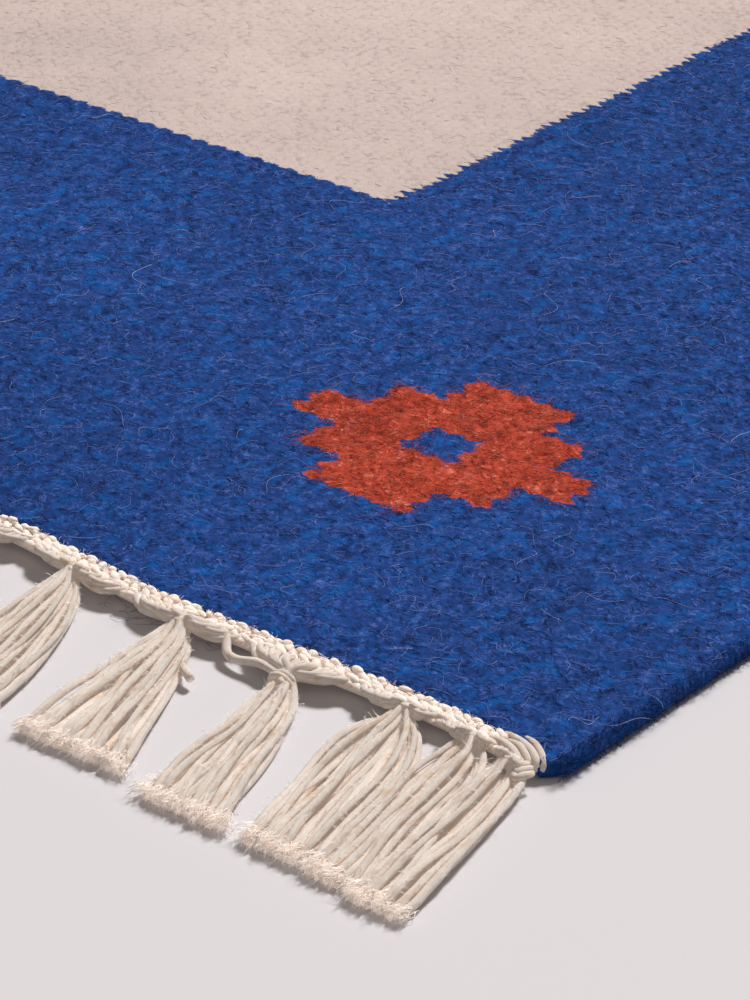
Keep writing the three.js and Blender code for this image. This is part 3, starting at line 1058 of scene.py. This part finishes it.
def selvedge_turns(end, side):
    """The heading's own weft where it turns back round the end of the heading, yarn by yarn."""
    paths = []
    for out, reach_in, reach_out, thick in SELVEDGE_TURNS:
        rows = (
            (HALF_WIDTH - reach_in, out - 0.5, 3.7, 0.6),
            (HALF_WIDTH - reach_in + 3, out - 0.3, 4.3, 0.85),
            (HALF_WIDTH - reach_out - 4, out + 0.1, 4.4, 0.95),
            (HALF_WIDTH - reach_out - 1.2, out + 0.7, 3.8, 1.05),
            (HALF_WIDTH - reach_out, out + 1.2, 2.8, 1.05),
            (HALF_WIDTH - reach_out - 1.0, out + 1.5, 1.7, 0.95),
            (HALF_WIDTH - reach_out - 6, out + 1.3, 1.6, 0.8),
        )
        across = [side * row[0] for row in rows]
        points = [(x, float(reach_at(end, x)) + row[1], row[2]) for x, row in zip(across, rows)]
        placed = to_frame(end, points)
        paths.append([(*p, thick * row[3]) for p, row in zip(placed, rows)])
    return yarn_mesh("turns", paths, resolution=4)


def merged(meshes, name):
    """Several meshes as one, without their attributes."""
    bm = bmesh.new()
    for mesh in meshes:
        bm.from_mesh(mesh)
        bpy.data.meshes.remove(mesh)
    bmesh.ops.recalc_face_normals(bm, faces=bm.faces[:])
    whole = bpy.data.meshes.new(name)
    bm.to_mesh(whole)
    bm.free()
    return whole


class RUG_OT_headings(bpy.types.Operator):
    """Weave the two cotton headings that bind the warp at the ends of the cloth"""

    bl_idname = "rug.weave_headings"
    bl_label = "Weave the headings"

    def execute(self, context):
        hue = tuple(context.scene.rug_colours.heading)
        # The last value is the strength of the painted glow in the heading's crevices.
        material = cotton("heading_cotton", hue, linear("#f3dfca"), 1.8, 0.14, 0.12)
        for seed, end in enumerate(ENDS, 20):
            fine_from = FINE_END_X if end == "near" else HALF_WIDTH
            parts = [heading_strip(end)]
            parts.append(heading_floats(end, -HALF_WIDTH, fine_from, 1, seed))
            if fine_from < HALF_WIDTH:
                parts.append(heading_floats(end, fine_from + 1, HALF_WIDTH, 3, seed + 10))
            parts += [selvedge_turns(end, side) for side in (-1, 1)]
            mesh = merged(parts, f"heading_{end}_weave")
            piece_from(mesh, mesh.name, material, [f"heading_{end}"])
        rng = np.random.default_rng(26)
        fuzz = heading_fuzz("near", FINE_END_X, rng, HEADING_FUZZ)
        piece_from(fuzz, "heading_fuzz", material)
        return {"FINISHED"}


def bounds_of(rows, i):
    """The stretch of heading whose warp ends are gathered into tassel i of the rows."""
    here = rows[i]["across"]
    right = (here + rows[i - 1]["across"]) / 2 if i else HALF_WIDTH - 2
    left = (here + rows[i + 1]["across"]) / 2 if i + 1 < len(rows) else 2 - HALF_WIDTH
    return left, right


# Places down a yarn of a tassel, as shares of its length below the knot.
SHARES = (0.04, 0.09, 0.14, 0.2, 0.27, 0.34, 0.41, 0.48, 0.55, 0.62, 0.69, 0.76, 0.83, 0.9, 0.95, 0.98, 1.0)


def tassel_yarns(end, i, rng, detail):
    """The yarns of one tassel: out of the heading, along its edge as a rope, through the knot,
    and fanned out on the floor. Gives a path for each, in the end's own places."""
    rows = ENDS[end]["rows"]
    row = rows[i]
    belly, neck = CORNER_LOOKS[i] if end == "near" and i < len(CORNER_LOOKS) else USUAL_LOOK
    left, right = bounds_of(rows, i)
    count = round((right - left) / 1.8) if detail else round((right - left) / 3.2)
    count = int(np.clip(count, 8, 16))
    starts = np.linspace(left + 1.4, right - 1.4, count)
    knot = row["across"]
    knot_out = float(reach_at(end, knot)) + row["drop"]
    reach = max(knot - left, right - knot, 8)
    tip_order = np.linspace(-1, 1, count)
    swap = rng.permutation(count - 1)[: count // 3]
    for k in swap:
        tip_order[[k, k + 1]] = tip_order[[k + 1, k]]
    tip_order = tip_order + rng.normal(0, 0.05, count)
    radius = bpy.context.scene.rug_sizes.yarn_radius / MM
    raised = 1.3 if detail else 0.0
    paths = []
    for k, start in enumerate(starts):
        side = 1 if start > knot else -1
        away = abs(start - knot)
        far = min(1.0, away / reach)
        edge = float(reach_at(end, start))
        tip = tip_order[k]
        layer = (5 * k % 3) / 2 * (1 - abs(tip) * 0.5)
        place = int(away / 2.3)
        level = 2.4 + 1.2 * (place % 2) + 1.0 * (1 - far) + rng.normal(0, 0.1)
        size = radius * rng.uniform(0.85, 1.15)
        long = row["long"] * (1 + rng.normal(0, 0.012)) - 2.5
        rope_out = (edge + 6.9 + 1.3 * far) * 0.6 + knot_out * 0.4 - 0.6 + 1.0 * (place // 2 % 2)
        points = [
            (start, edge + 3.2, 3.3, size * 0.9),
            (start - side * 0.5, edge + 4.9, 3.9, size * 1.0),
            (knot + side * (away * 0.8 + 0.4), edge + 6.4 + 1.1 * far, level + 0.7, size * 1.1),
            (knot + side * (away * 0.45 + 0.9), rope_out, level + 0.6, size * 1.05),
            (knot + side * (0.7 + 0.6 * far), knot_out - 2.2, level + 0.4, size),
            (knot + tip * neck * 0.75, knot_out - 0.4, 1.5 + 2.9 * layer, size * 0.9),
        ]
        phase, turns = rng.uniform(0, 2 * math.pi), rng.uniform(0.8, 2.2)
        wander, bob = rng.uniform(0.4, 1.3), rng.uniform(0, 2 * math.pi)
        crinkle = rng.uniform(0.08, 0.2) if detail else 0.0
        for share in SHARES if detail else SHARES[::2]:
            fan = share**0.8
            bell = 1.06 * (1 - (1 - share) ** 6) - 0.22 * share**2
            half = neck + (row["spread"] - neck) * (fan + (bell - fan) * belly)
            middle = row["lean"] * share**0.75
            wave = wander * (math.sin(turns * math.pi * share + phase) - math.sin(phase) * (1 - share))
            settle = (1 - share) ** 1.3
            height = radius + (2.6 * layer + 0.3) * settle + (raised + 1.4 * layer) * (1 - settle)
            height -= (height - radius) * 0.6 * max(0, share - 0.75) / 0.25
            height += 0.35 * math.sin(9 * share + bob) * min(1, 5 * share)
            end_swell = np.interp(share, (0.6, 0.8, 0.92, 1.0), (1.0, 1.15, 1.25, 0.7))
            swell = end_swell * rng.uniform(0.9, 1.1)
            shake = crinkle * math.sin(43 * share + 2 * bob)
            points.append(
                (
                    knot + tip * half + middle + wave * min(1, share * 4) + shake,
                    knot_out + share * long,
                    height + (swell - 1) * radius + 0.6 * crinkle * math.sin(37 * share + phase),
                    size * swell,
                )
            )
        paths.append(points)
    return paths


def matted_bed(end, i, rng):
    """The lower yarns of a tassel, matted into soft ropes that lie on the floor side by side."""
    row = ENDS[end]["rows"][i]
    belly, neck = CORNER_LOOKS[i] if i < len(CORNER_LOOKS) else USUAL_LOOK
    knot_out = float(reach_at(end, row["across"])) + row["drop"]
    paths = []
    for tip in np.linspace(-0.9, 0.9, 9):
        points = []
        phase = rng.uniform(0, 2 * math.pi)
        for share in (0.02, 0.12, 0.25, 0.4, 0.55, 0.7, 0.85, 0.97):
            fan = share**0.8
            bell = 1.06 * (1 - (1 - share) ** 6) - 0.22 * share**2
            half = neck + (row["spread"] - neck) * (fan + (bell - fan) * belly)
            size = (half * 0.07 + 0.35) * rng.uniform(0.85, 1.15)
            sway = 0.5 * math.sin(7 * share + phase)
            across = row["across"] + tip * half + row["lean"] * share**0.75 + sway
            points.append((across, knot_out + share * row["long"], size + 0.1, size))
        paths.append(points)
    return paths


def knot_wrap(end, row, rng, turns, bound):
    """The yarn wound round a tassel's neck: in sight where it is bound, else below the others."""
    out = float(reach_at(end, row["across"])) + row["drop"] - (0 if bound else 1.4)
    count = round(turns * 8)
    start = rng.uniform(0, 2 * math.pi)
    wide, high = (2.7, 1.9) if bound else (2.6, 1.5)
    points = []
    for k in range(count + 1):
        angle = start + 2 * math.pi * k / 8
        along = out - 0.9 + 1.35 * k / 8
        points.append(
            (
                row["across"] + wide * math.cos(angle),
                along + 0.3 * math.cos(angle),
                2.7 + high * math.sin(angle),
                0.75,
            )
        )
    return points


def frayed_ends(end, paths, rng, each, template, radius, line):
    """Loose fibres where the yarns were cut straight across: a soft brush up to that line."""
    tips = np.array([p[-1][:3] for p in paths])
    before = np.array([p[-4][:3] for p in paths])
    ways = unit((tips - before) * (1, 1, 0.3))
    tips, ways = np.repeat(tips, each, 0), np.repeat(ways, each, 0)
    count = len(tips)
    back = 5.5 * rng.random((count, 1)) - 0.5
    sideways = np.column_stack([-ways[:, 1], ways[:, 0], np.zeros(count)])
    off = rng.normal(0, 0.5, count)[:, None]
    roots = tips - ways * back + sideways * off
    roots[:, 2] = np.clip(tips[:, 2] + rng.normal(0, 0.5, count), 0.2, 3.4)
    turn = rng.normal(0, 0.22, count)[:, None] + 0.1 * off
    aims = unit(ways + turn * sideways)
    lengths = np.clip((line - roots[:, 1] + rng.normal(0, 0.9, count)) / aims[:, 1], 1.2, 8)
    aims[:, 2] = (rng.uniform(0.1, 3.4, count) - roots[:, 2]) / lengths
    corners = bent_fibres(
        template, roots, aims, lengths, radius * rng.uniform(0.7, 1.3, count),
        rng.uniform(0.06, 0.16, count), rng.uniform(1.0, 3.0, count), rng.uniform(0, 1.0, count), rng,
    )
    corners[..., 2] = np.maximum(corners[..., 2], 0.05)
    return corners


def yarn_fuzz(paths, rng, template, each):
    """Short fibres that stand off the yarns, which gives cotton its soft outline."""
    count = each * len(paths)
    which = np.repeat(np.arange(len(paths)), each)
    middles = np.array([p[6:] for p in paths])
    place = rng.uniform(0, middles.shape[1] - 1.001, count)
    step = place.astype(int)
    share = (place - step)[:, None]
    here = middles[which, step] * (1 - share) + middles[which, step + 1] * share
    ahead = unit(middles[which, step + 1, :3] - middles[which, step, :3])
    sideways = unit(np.cross(ahead, (0.0, 0.0, 1.0)))
    angle = rng.uniform(-0.15, 1.15, count)[:, None] * math.pi
    off = np.cos(angle) * sideways + np.sin(angle) * (0.0, 0.0, 1.0)
    roots = here[:, :3] + off * here[:, 3:] * 0.85
    aims = off * rng.uniform(0.1, 0.7, (count, 1)) + ahead * rng.normal(0.5, 0.6, (count, 1))
    corners = bent_fibres(
        template, roots, aims, rng.uniform(0.8, 2.4, count), 0.06 * rng.uniform(0.7, 1.3, count),
        rng.uniform(0.1, 0.3, count), rng.uniform(1.0, 2.4, count), rng.uniform(0, 0.3, count), rng,
    )
    corners[..., 2] = np.maximum(corners[..., 2], 0.05)
    return corners


class RUG_OT_fringes(bpy.types.Operator):
    """Knot the two fringes: gathered warp along each heading, knots, and loose tassels"""

    bl_idname = "rug.knot_fringes"
    bl_label = "Knot the fringes"

    def execute(self, context):
        hue = tuple(context.scene.rug_colours.fringe)
        # The last value of each is the strength of the painted glow in the crevices of the yarns and of the frayed
        # fibres.
        yarn = cotton("fringe_cotton_yarn", hue, linear("#f3dcc6"), 2.2, 0.10, 0.2)
        frayed = cotton("frayed_cotton_fibre", linear("#fffbf6"), linear("#e9d8c4"), 1.0, 0.02, 0.5)
        radius = context.scene.rug_sizes.yarn_radius / MM
        for seed, end in enumerate(ENDS, 40):
            rng = np.random.default_rng(seed)
            rows = ENDS[end]["rows"]
            fine, plain, brushes = [], [], []
            coarse_fibre, fine_fibre = fibre_template(1), fibre_template(2)
            plain_corners, fine_corners, fuzz_corners = [], [], []
            for i, row in enumerate(rows):
                detail = end == "near" and i < DETAILED_TASSELS
                paths = tassel_yarns(end, i, rng, detail)
                if detail:
                    fine.extend(matted_bed(end, i, rng))
                (fine if detail else plain).extend(paths)
                bound = detail and i == BOUND_TASSEL
                turns = 2.6 if bound else 1.2
                (fine if detail else plain).append(knot_wrap(end, row, rng, turns, bound))
                line = float(reach_at(end, row["across"])) + row["drop"] + row["long"] - 1.0
                if detail:
                    fine_corners.append(frayed_ends(end, paths, rng, BRUSH_PER_YARN, fine_fibre, 0.085, line))
                    fuzz_corners.append(yarn_fuzz(paths, rng, coarse_fibre, FUZZ_PER_YARN))
                else:
                    plain_corners.append(frayed_ends(end, paths, rng, PLAIN_BRUSH_PER_YARN, coarse_fibre, 0.3, line))
            if end == "near":
                fine.extend([LOOSE_LOOP, LOOSE_STUB])
            for paths in (fine, plain):
                for path in paths:
                    placed = to_frame(end, [p[:3] for p in path])
                    path[:] = [(*q, p[3]) for q, p in zip(placed, path)]
            meshes = [yarn_mesh("plain_yarns", plain, resolution=1)]
            if fine:
                meshes.append(yarn_mesh("fine_yarns", fine, bevel_sides=2, resolution=2))
            mesh = merged(meshes, f"fringe_{end}_yarns")
            piece_from(mesh, mesh.name, yarn, [f"fringe_{end}"])
            ends = [
                (coarse_fibre, plain_corners, "a"),
                (fine_fibre, fine_corners, "b"),
                (coarse_fibre, fuzz_corners, "c"),
            ]
            for (_, triangles), corners, label in ends:
                if corners:
                    corners = to_frame(end, np.concatenate(corners))
                    shade = rng.beta(2, 2, len(corners))
                    name = f"frays_{end}_{label}"
                    mesh = joined_mesh(name, corners, triangles[:, ::-1], shade)
                    piece_from(mesh, name, frayed)
        return {"FINISHED"}


# A loop of warp that slipped the knot, beside the fourth tassel: across, out, height, radius.
LOOSE_LOOP = [
    (513.0, 4.4, 3.6, 0.8),
    (514.8, 4.9, 4.0, 0.9),
    (516.3, 6.0, 3.7, 0.95),
    (517.4, 8.0, 2.9, 1.0),
    (519.0, 9.7, 2.3, 1.05),
    (520.8, 10.2, 2.2, 0.95),
    (523.2, 10.4, 2.5, 0.9),
    (525.8, 9.6, 3.0, 1.0),
    (528.4, 9.6, 3.3, 1.0),
    (531.0, 10.4, 3.5, 0.9),
    (534.0, 11.4, 3.4, 0.8),
]


# A short cut end that stands out of the fifth tassel.
LOOSE_STUB = [
    (515.2, 19.0, 2.0, 0.7),
    (516.8, 20.8, 2.6, 0.8),
    (518.2, 21.8, 2.8, 0.95),
    (519.4, 22.3, 2.5, 1.1),
    (520.2, 22.7, 2.1, 0.9),
]


def patch_places(rng, count):
    """Random places on the finest patch of the cloth."""
    along = rng.uniform(-PATCH_HALF[0], PATCH_HALF[0], count)
    aside = rng.uniform(-PATCH_HALF[1], PATCH_HALF[1], count)
    cos, sin = math.cos(PATCH_TURN), math.sin(PATCH_TURN)
    x = PATCH_MIDDLE[0] + along * cos - aside * sin
    y = PATCH_MIDDLE[1] + along * sin + aside * cos
    return on_cloth(x, y)


def on_cloth(x, y):
    inside = (np.abs(x) < HALF_WIDTH - 1) & (y > -HALF_LENGTH - reach_at("near", x) + 1)
    return x[inside], y[inside]


def lying_fibres(x, y, rng, template, lengths, radius, curl, lift, spread_of_ways=0.6):
    """Fibres that lie on the cloth, most of them along the weft."""
    count = len(x)
    roots = np.column_stack([x, y, cloth_height(x, y) + 0.02])
    turn = rng.normal(0, spread_of_ways, count) + math.pi * rng.integers(0, 2, count)
    ways = np.column_stack([np.cos(turn), np.sin(turn), rng.uniform(-0.01, 0.05, count)])
    return bent_fibres(
        template, roots, ways, rng.uniform(*lengths, count), radius * rng.uniform(0.75, 1.3, count),
        rng.uniform(*curl, count), rng.uniform(0.8, 2.6, count), rng.uniform(*lift, count), rng,
    )


class RUG_OT_fuzz(bpy.types.Operator):
    """Raise the loose fibres of the wool: short ones, curls and a few long pale hairs"""

    bl_idname = "rug.raise_fuzz"
    bl_label = "Raise the fuzz"

    def execute(self, context):
        sizes = context.scene.rug_sizes
        hues = context.scene.rug_colours
        radius = sizes.fibre_radius / MM
        blue = loose_wool(
            "loose_blue_wool", toned(hues.blue, 0.7), toned(hues.blue, 1.3), tuple(hues.pale_blue)
        )
        curls = loose_wool(
            "curled_blue_wool", toned(hues.blue, 1.3), linear("#5f7fd0"), linear("#a9b8f0")
        )
        cream = loose_wool(
            "loose_cream_wool", toned(hues.cream, 0.96), toned(hues.cream, 1.05), toned(hues.cream, 1.15)
        )
        rust = loose_wool(
            "loose_rust_wool", toned(hues.rust, 0.45), toned(hues.rust, 1.1), linear("#dd9986")
        )
        pale = loose_wool(
            "pale_stray_hair", linear("#7f97dc"), linear("#b4c0f0"), linear("#f4f4ff")
        )
        short, bent, curled = fibre_template(1), fibre_template(4), fibre_template(15)
        kinds = (
            ("blue_fibres", blue, "blue_wool", "border", sizes.blue_fibres, short,
             (1.5, 4.0), (0.05, 0.25), (0.0, 0.15), 61),
            ("blue_curls", curls, "blue_wool", "border", sizes.blue_curls, bent,
             (2.5, 8.5), (0.08, 0.3), (0.0, 0.3), 62),
            ("cream_fibres", cream, "cream_wool", "field", sizes.cream_fibres, short,
             (1.5, 3.5), (0.05, 0.2), (0.0, 0.03), 63),
        )
        for name, material, slot, zone, count, template, lengths, curl, lift, seed in kinds:
            rng = np.random.default_rng(seed)
            x, y = patch_places(rng, round(count * 1.6))
            field = field_depth(x, y)
            keep = field > 0.5 if zone == "field" else (field < -1) & (figure_depth(x, y) < 0)
            x, y = x[keep][:count], y[keep][:count]
            corners = lying_fibres(x, y, rng, template, lengths, radius, curl, lift, 1.3)
            shade = rng.beta(2.2, 2.6, len(corners))
            mesh = joined_mesh(name, corners, template[1], shade)
            piece_from(mesh, name, material)
        rng = np.random.default_rng(64)
        x = rng.uniform(456, 535, sizes.rust_fibres * 2)
        y = rng.uniform(-839, -770, sizes.rust_fibres * 2)
        keep = figure_depth(x, y) > -0.3
        x, y = x[keep], y[keep]
        corners = lying_fibres(x, y, rng, bent, (1.8, 5.5), radius * 1.05, (0.1, 0.4), (0.1, 0.9), 1.3)
        mesh = joined_mesh("rust_fibres", corners, bent[1], rng.beta(2.2, 2.2, len(corners)))
        piece_from(mesh, "rust_fibres", rust)
        rng = np.random.default_rng(65)
        x, y = patch_places(rng, sizes.stray_hairs)
        keep = field_depth(x, y) < -2
        x, y = x[keep], y[keep]
        corners = lying_fibres(x, y, rng, curled, (4, 15), radius * 1.05, (0.08, 0.26), (0.1, 0.9), 1.2)
        mesh = joined_mesh("stray_hairs", corners, curled[1], rng.beta(1.2, 2.6, len(corners)))
        piece_from(mesh, "stray_hairs", pale)
        self.selvedge(rng, short, radius, blue)
        count = SHED_FIBRES
        x = rng.uniform(*SHED_ACROSS, count)
        out = reach_at("near", x) + rng.uniform(4, 10, count)
        roots = np.column_stack([x, -HALF_LENGTH - out, rng.uniform(0.2, 1.2, count)])
        ways = rng.normal(0, 1, (count, 3)) * (1, 1, 0.05)
        corners = bent_fibres(
            bent, roots, ways, rng.uniform(3, 8, count), np.full(count, radius * 0.7),
            rng.uniform(0.1, 0.4, count), rng.uniform(0.8, 2.0, count), rng.uniform(0, 0.3, count), rng,
        )
        corners[..., 2] = np.maximum(corners[..., 2], 0.05)
        mesh = joined_mesh("shed_fibres", corners, bent[1], rng.beta(2, 2.6, count))
        piece_from(mesh, "shed_fibres", blue)
        return {"FINISHED"}

    def selvedge(self, rng, template, radius, material):
        """Fibres that stand out from the rounded edge, which shows as a soft outline."""
        count = SELVEDGE_FIBRES
        y = -HALF_LENGTH - 4 + 330 * rng.random(count) ** 1.25
        angle = rng.uniform(0.0, 0.8 * math.pi, count)
        x = HALF_WIDTH - EDGE_ROUNDING + EDGE_ROUNDING * np.sin(angle)
        z = 2.14 + 2.1 * np.cos(angle)
        roots = np.column_stack([x, y, z])
        out = np.column_stack([np.sin(angle), np.zeros(count), np.cos(angle)])
        ways = out * rng.uniform(0.1, 0.9, (count, 1)) + rng.normal(0, 0.55, (count, 3))
        corners = bent_fibres(
            template, roots, ways, rng.uniform(0.9, 2.8, count), radius * rng.uniform(0.8, 1.2, count),
            rng.uniform(0.1, 0.35, count), rng.uniform(0.8, 2.5, count), rng.uniform(0, 0.5, count), rng,
        )
        corners[..., 2] = np.maximum(corners[..., 2], 0.05)
        mesh = joined_mesh("selvedge_fibres", corners, template[1], rng.beta(2, 2.6, count))
        piece_from(mesh, "selvedge_fibres", material)


class RUG_OT_stage(bpy.types.Operator):
    """Set out the floor, the lights and the camera"""

    bl_idname = "rug.set_stage"
    bl_label = "Set the stage"

    def execute(self, context):
        scene = context.scene
        bm = bmesh.new()
        bmesh.ops.create_grid(bm, x_segments=2, y_segments=2, size=FLOOR_HALF)
        mesh = bpy.data.meshes.new("floor")
        bm.to_mesh(mesh)
        bm.free()
        mesh.materials.append(painted_floor())
        floor = bpy.data.objects.new("floor", mesh)
        scene.collection.objects.link(floor)

        world = bpy.data.worlds.new("studio")
        world.use_nodes = True
        background = world.node_tree.nodes["Background"]
        background.inputs["Color"].default_value = linear("#fff1e4")
        background.inputs["Strength"].default_value = 0.14
        scene.world = world

        self.sun(scene, "window_light", 4.15, 12, (-44, 0, 8), "#fffaf6")
        self.sun(scene, "front_fill", 0.36, 70, (48, 0, 20), "#fff1e4")

        lens = bpy.data.cameras.new("camera")
        lens.lens = 158.2
        lens.sensor_width = 36
        lens.clip_end = 60
        camera = bpy.data.objects.new("camera", lens)
        corner = Vector((HALF_WIDTH, -HALF_LENGTH, THICKNESS)) * MM
        turn = Matrix.Rotation(math.radians(36.65), 4, "Z")
        tilt = Matrix.Rotation(math.radians(90 - 26.5), 4, "X")
        roll = Matrix.Rotation(math.radians(2.0), 4, "Z")
        place = Matrix.Translation(corner + Vector((0.4163, -0.6289, 0.430)))
        camera.matrix_world = place @ turn @ tilt @ roll
        scene.collection.objects.link(camera)
        scene.camera = camera
        scene.view_settings.view_transform = "Standard"
        return {"FINISHED"}

    def sun(self, scene, name, strength, softness, turns, hue):
        """A soft light from far away. turns are its tilts about X and Y, and its bearing."""
        lamp = bpy.data.lights.new(name, "SUN")
        lamp.energy = strength
        lamp.angle = math.radians(softness)
        lamp.color = linear(hue)[:3]
        light = bpy.data.objects.new(name, lamp)
        tilt_x, tilt_y, bearing = (math.radians(t) for t in turns)
        light.rotation_euler = (tilt_x, tilt_y, bearing)
        scene.collection.objects.link(light)


class RUG_PT_build(bpy.types.Panel):
    """The rug's steps, sizes and colours"""

    bl_idname = "RUG_PT_build"
    bl_label = "Kilim rug"
    bl_space_type = "VIEW_3D"
    bl_region_type = "UI"
    bl_category = "Rug"

    def draw(self, context):
        for operator in OPERATORS:
            self.layout.operator(operator.bl_idname)
        for group in (context.scene.rug_sizes, context.scene.rug_colours):
            column = self.layout.column()
            for name in type(group).__annotations__:
                column.prop(group, name)


OPERATORS = (RUG_OT_stage, RUG_OT_cloth, RUG_OT_headings, RUG_OT_fringes, RUG_OT_fuzz)
CLASSES = (RugSizes, RugColours, *OPERATORS, RUG_PT_build)


def register():
    for cls in CLASSES:
        bpy.utils.register_class(cls)
    bpy.types.Scene.rug_sizes = PointerProperty(type=RugSizes)
    bpy.types.Scene.rug_colours = PointerProperty(type=RugColours)


def unregister():
    del bpy.types.Scene.rug_colours
    del bpy.types.Scene.rug_sizes
    for cls in reversed(CLASSES):
        bpy.utils.unregister_class(cls)


def main():
    register()
    bpy.ops.rug.set_stage()
    bpy.ops.rug.weave_cloth()
    bpy.ops.rug.weave_headings()
    bpy.ops.rug.knot_fringes()
    bpy.ops.rug.raise_fuzz()


if __name__ == "__main__":
    main()
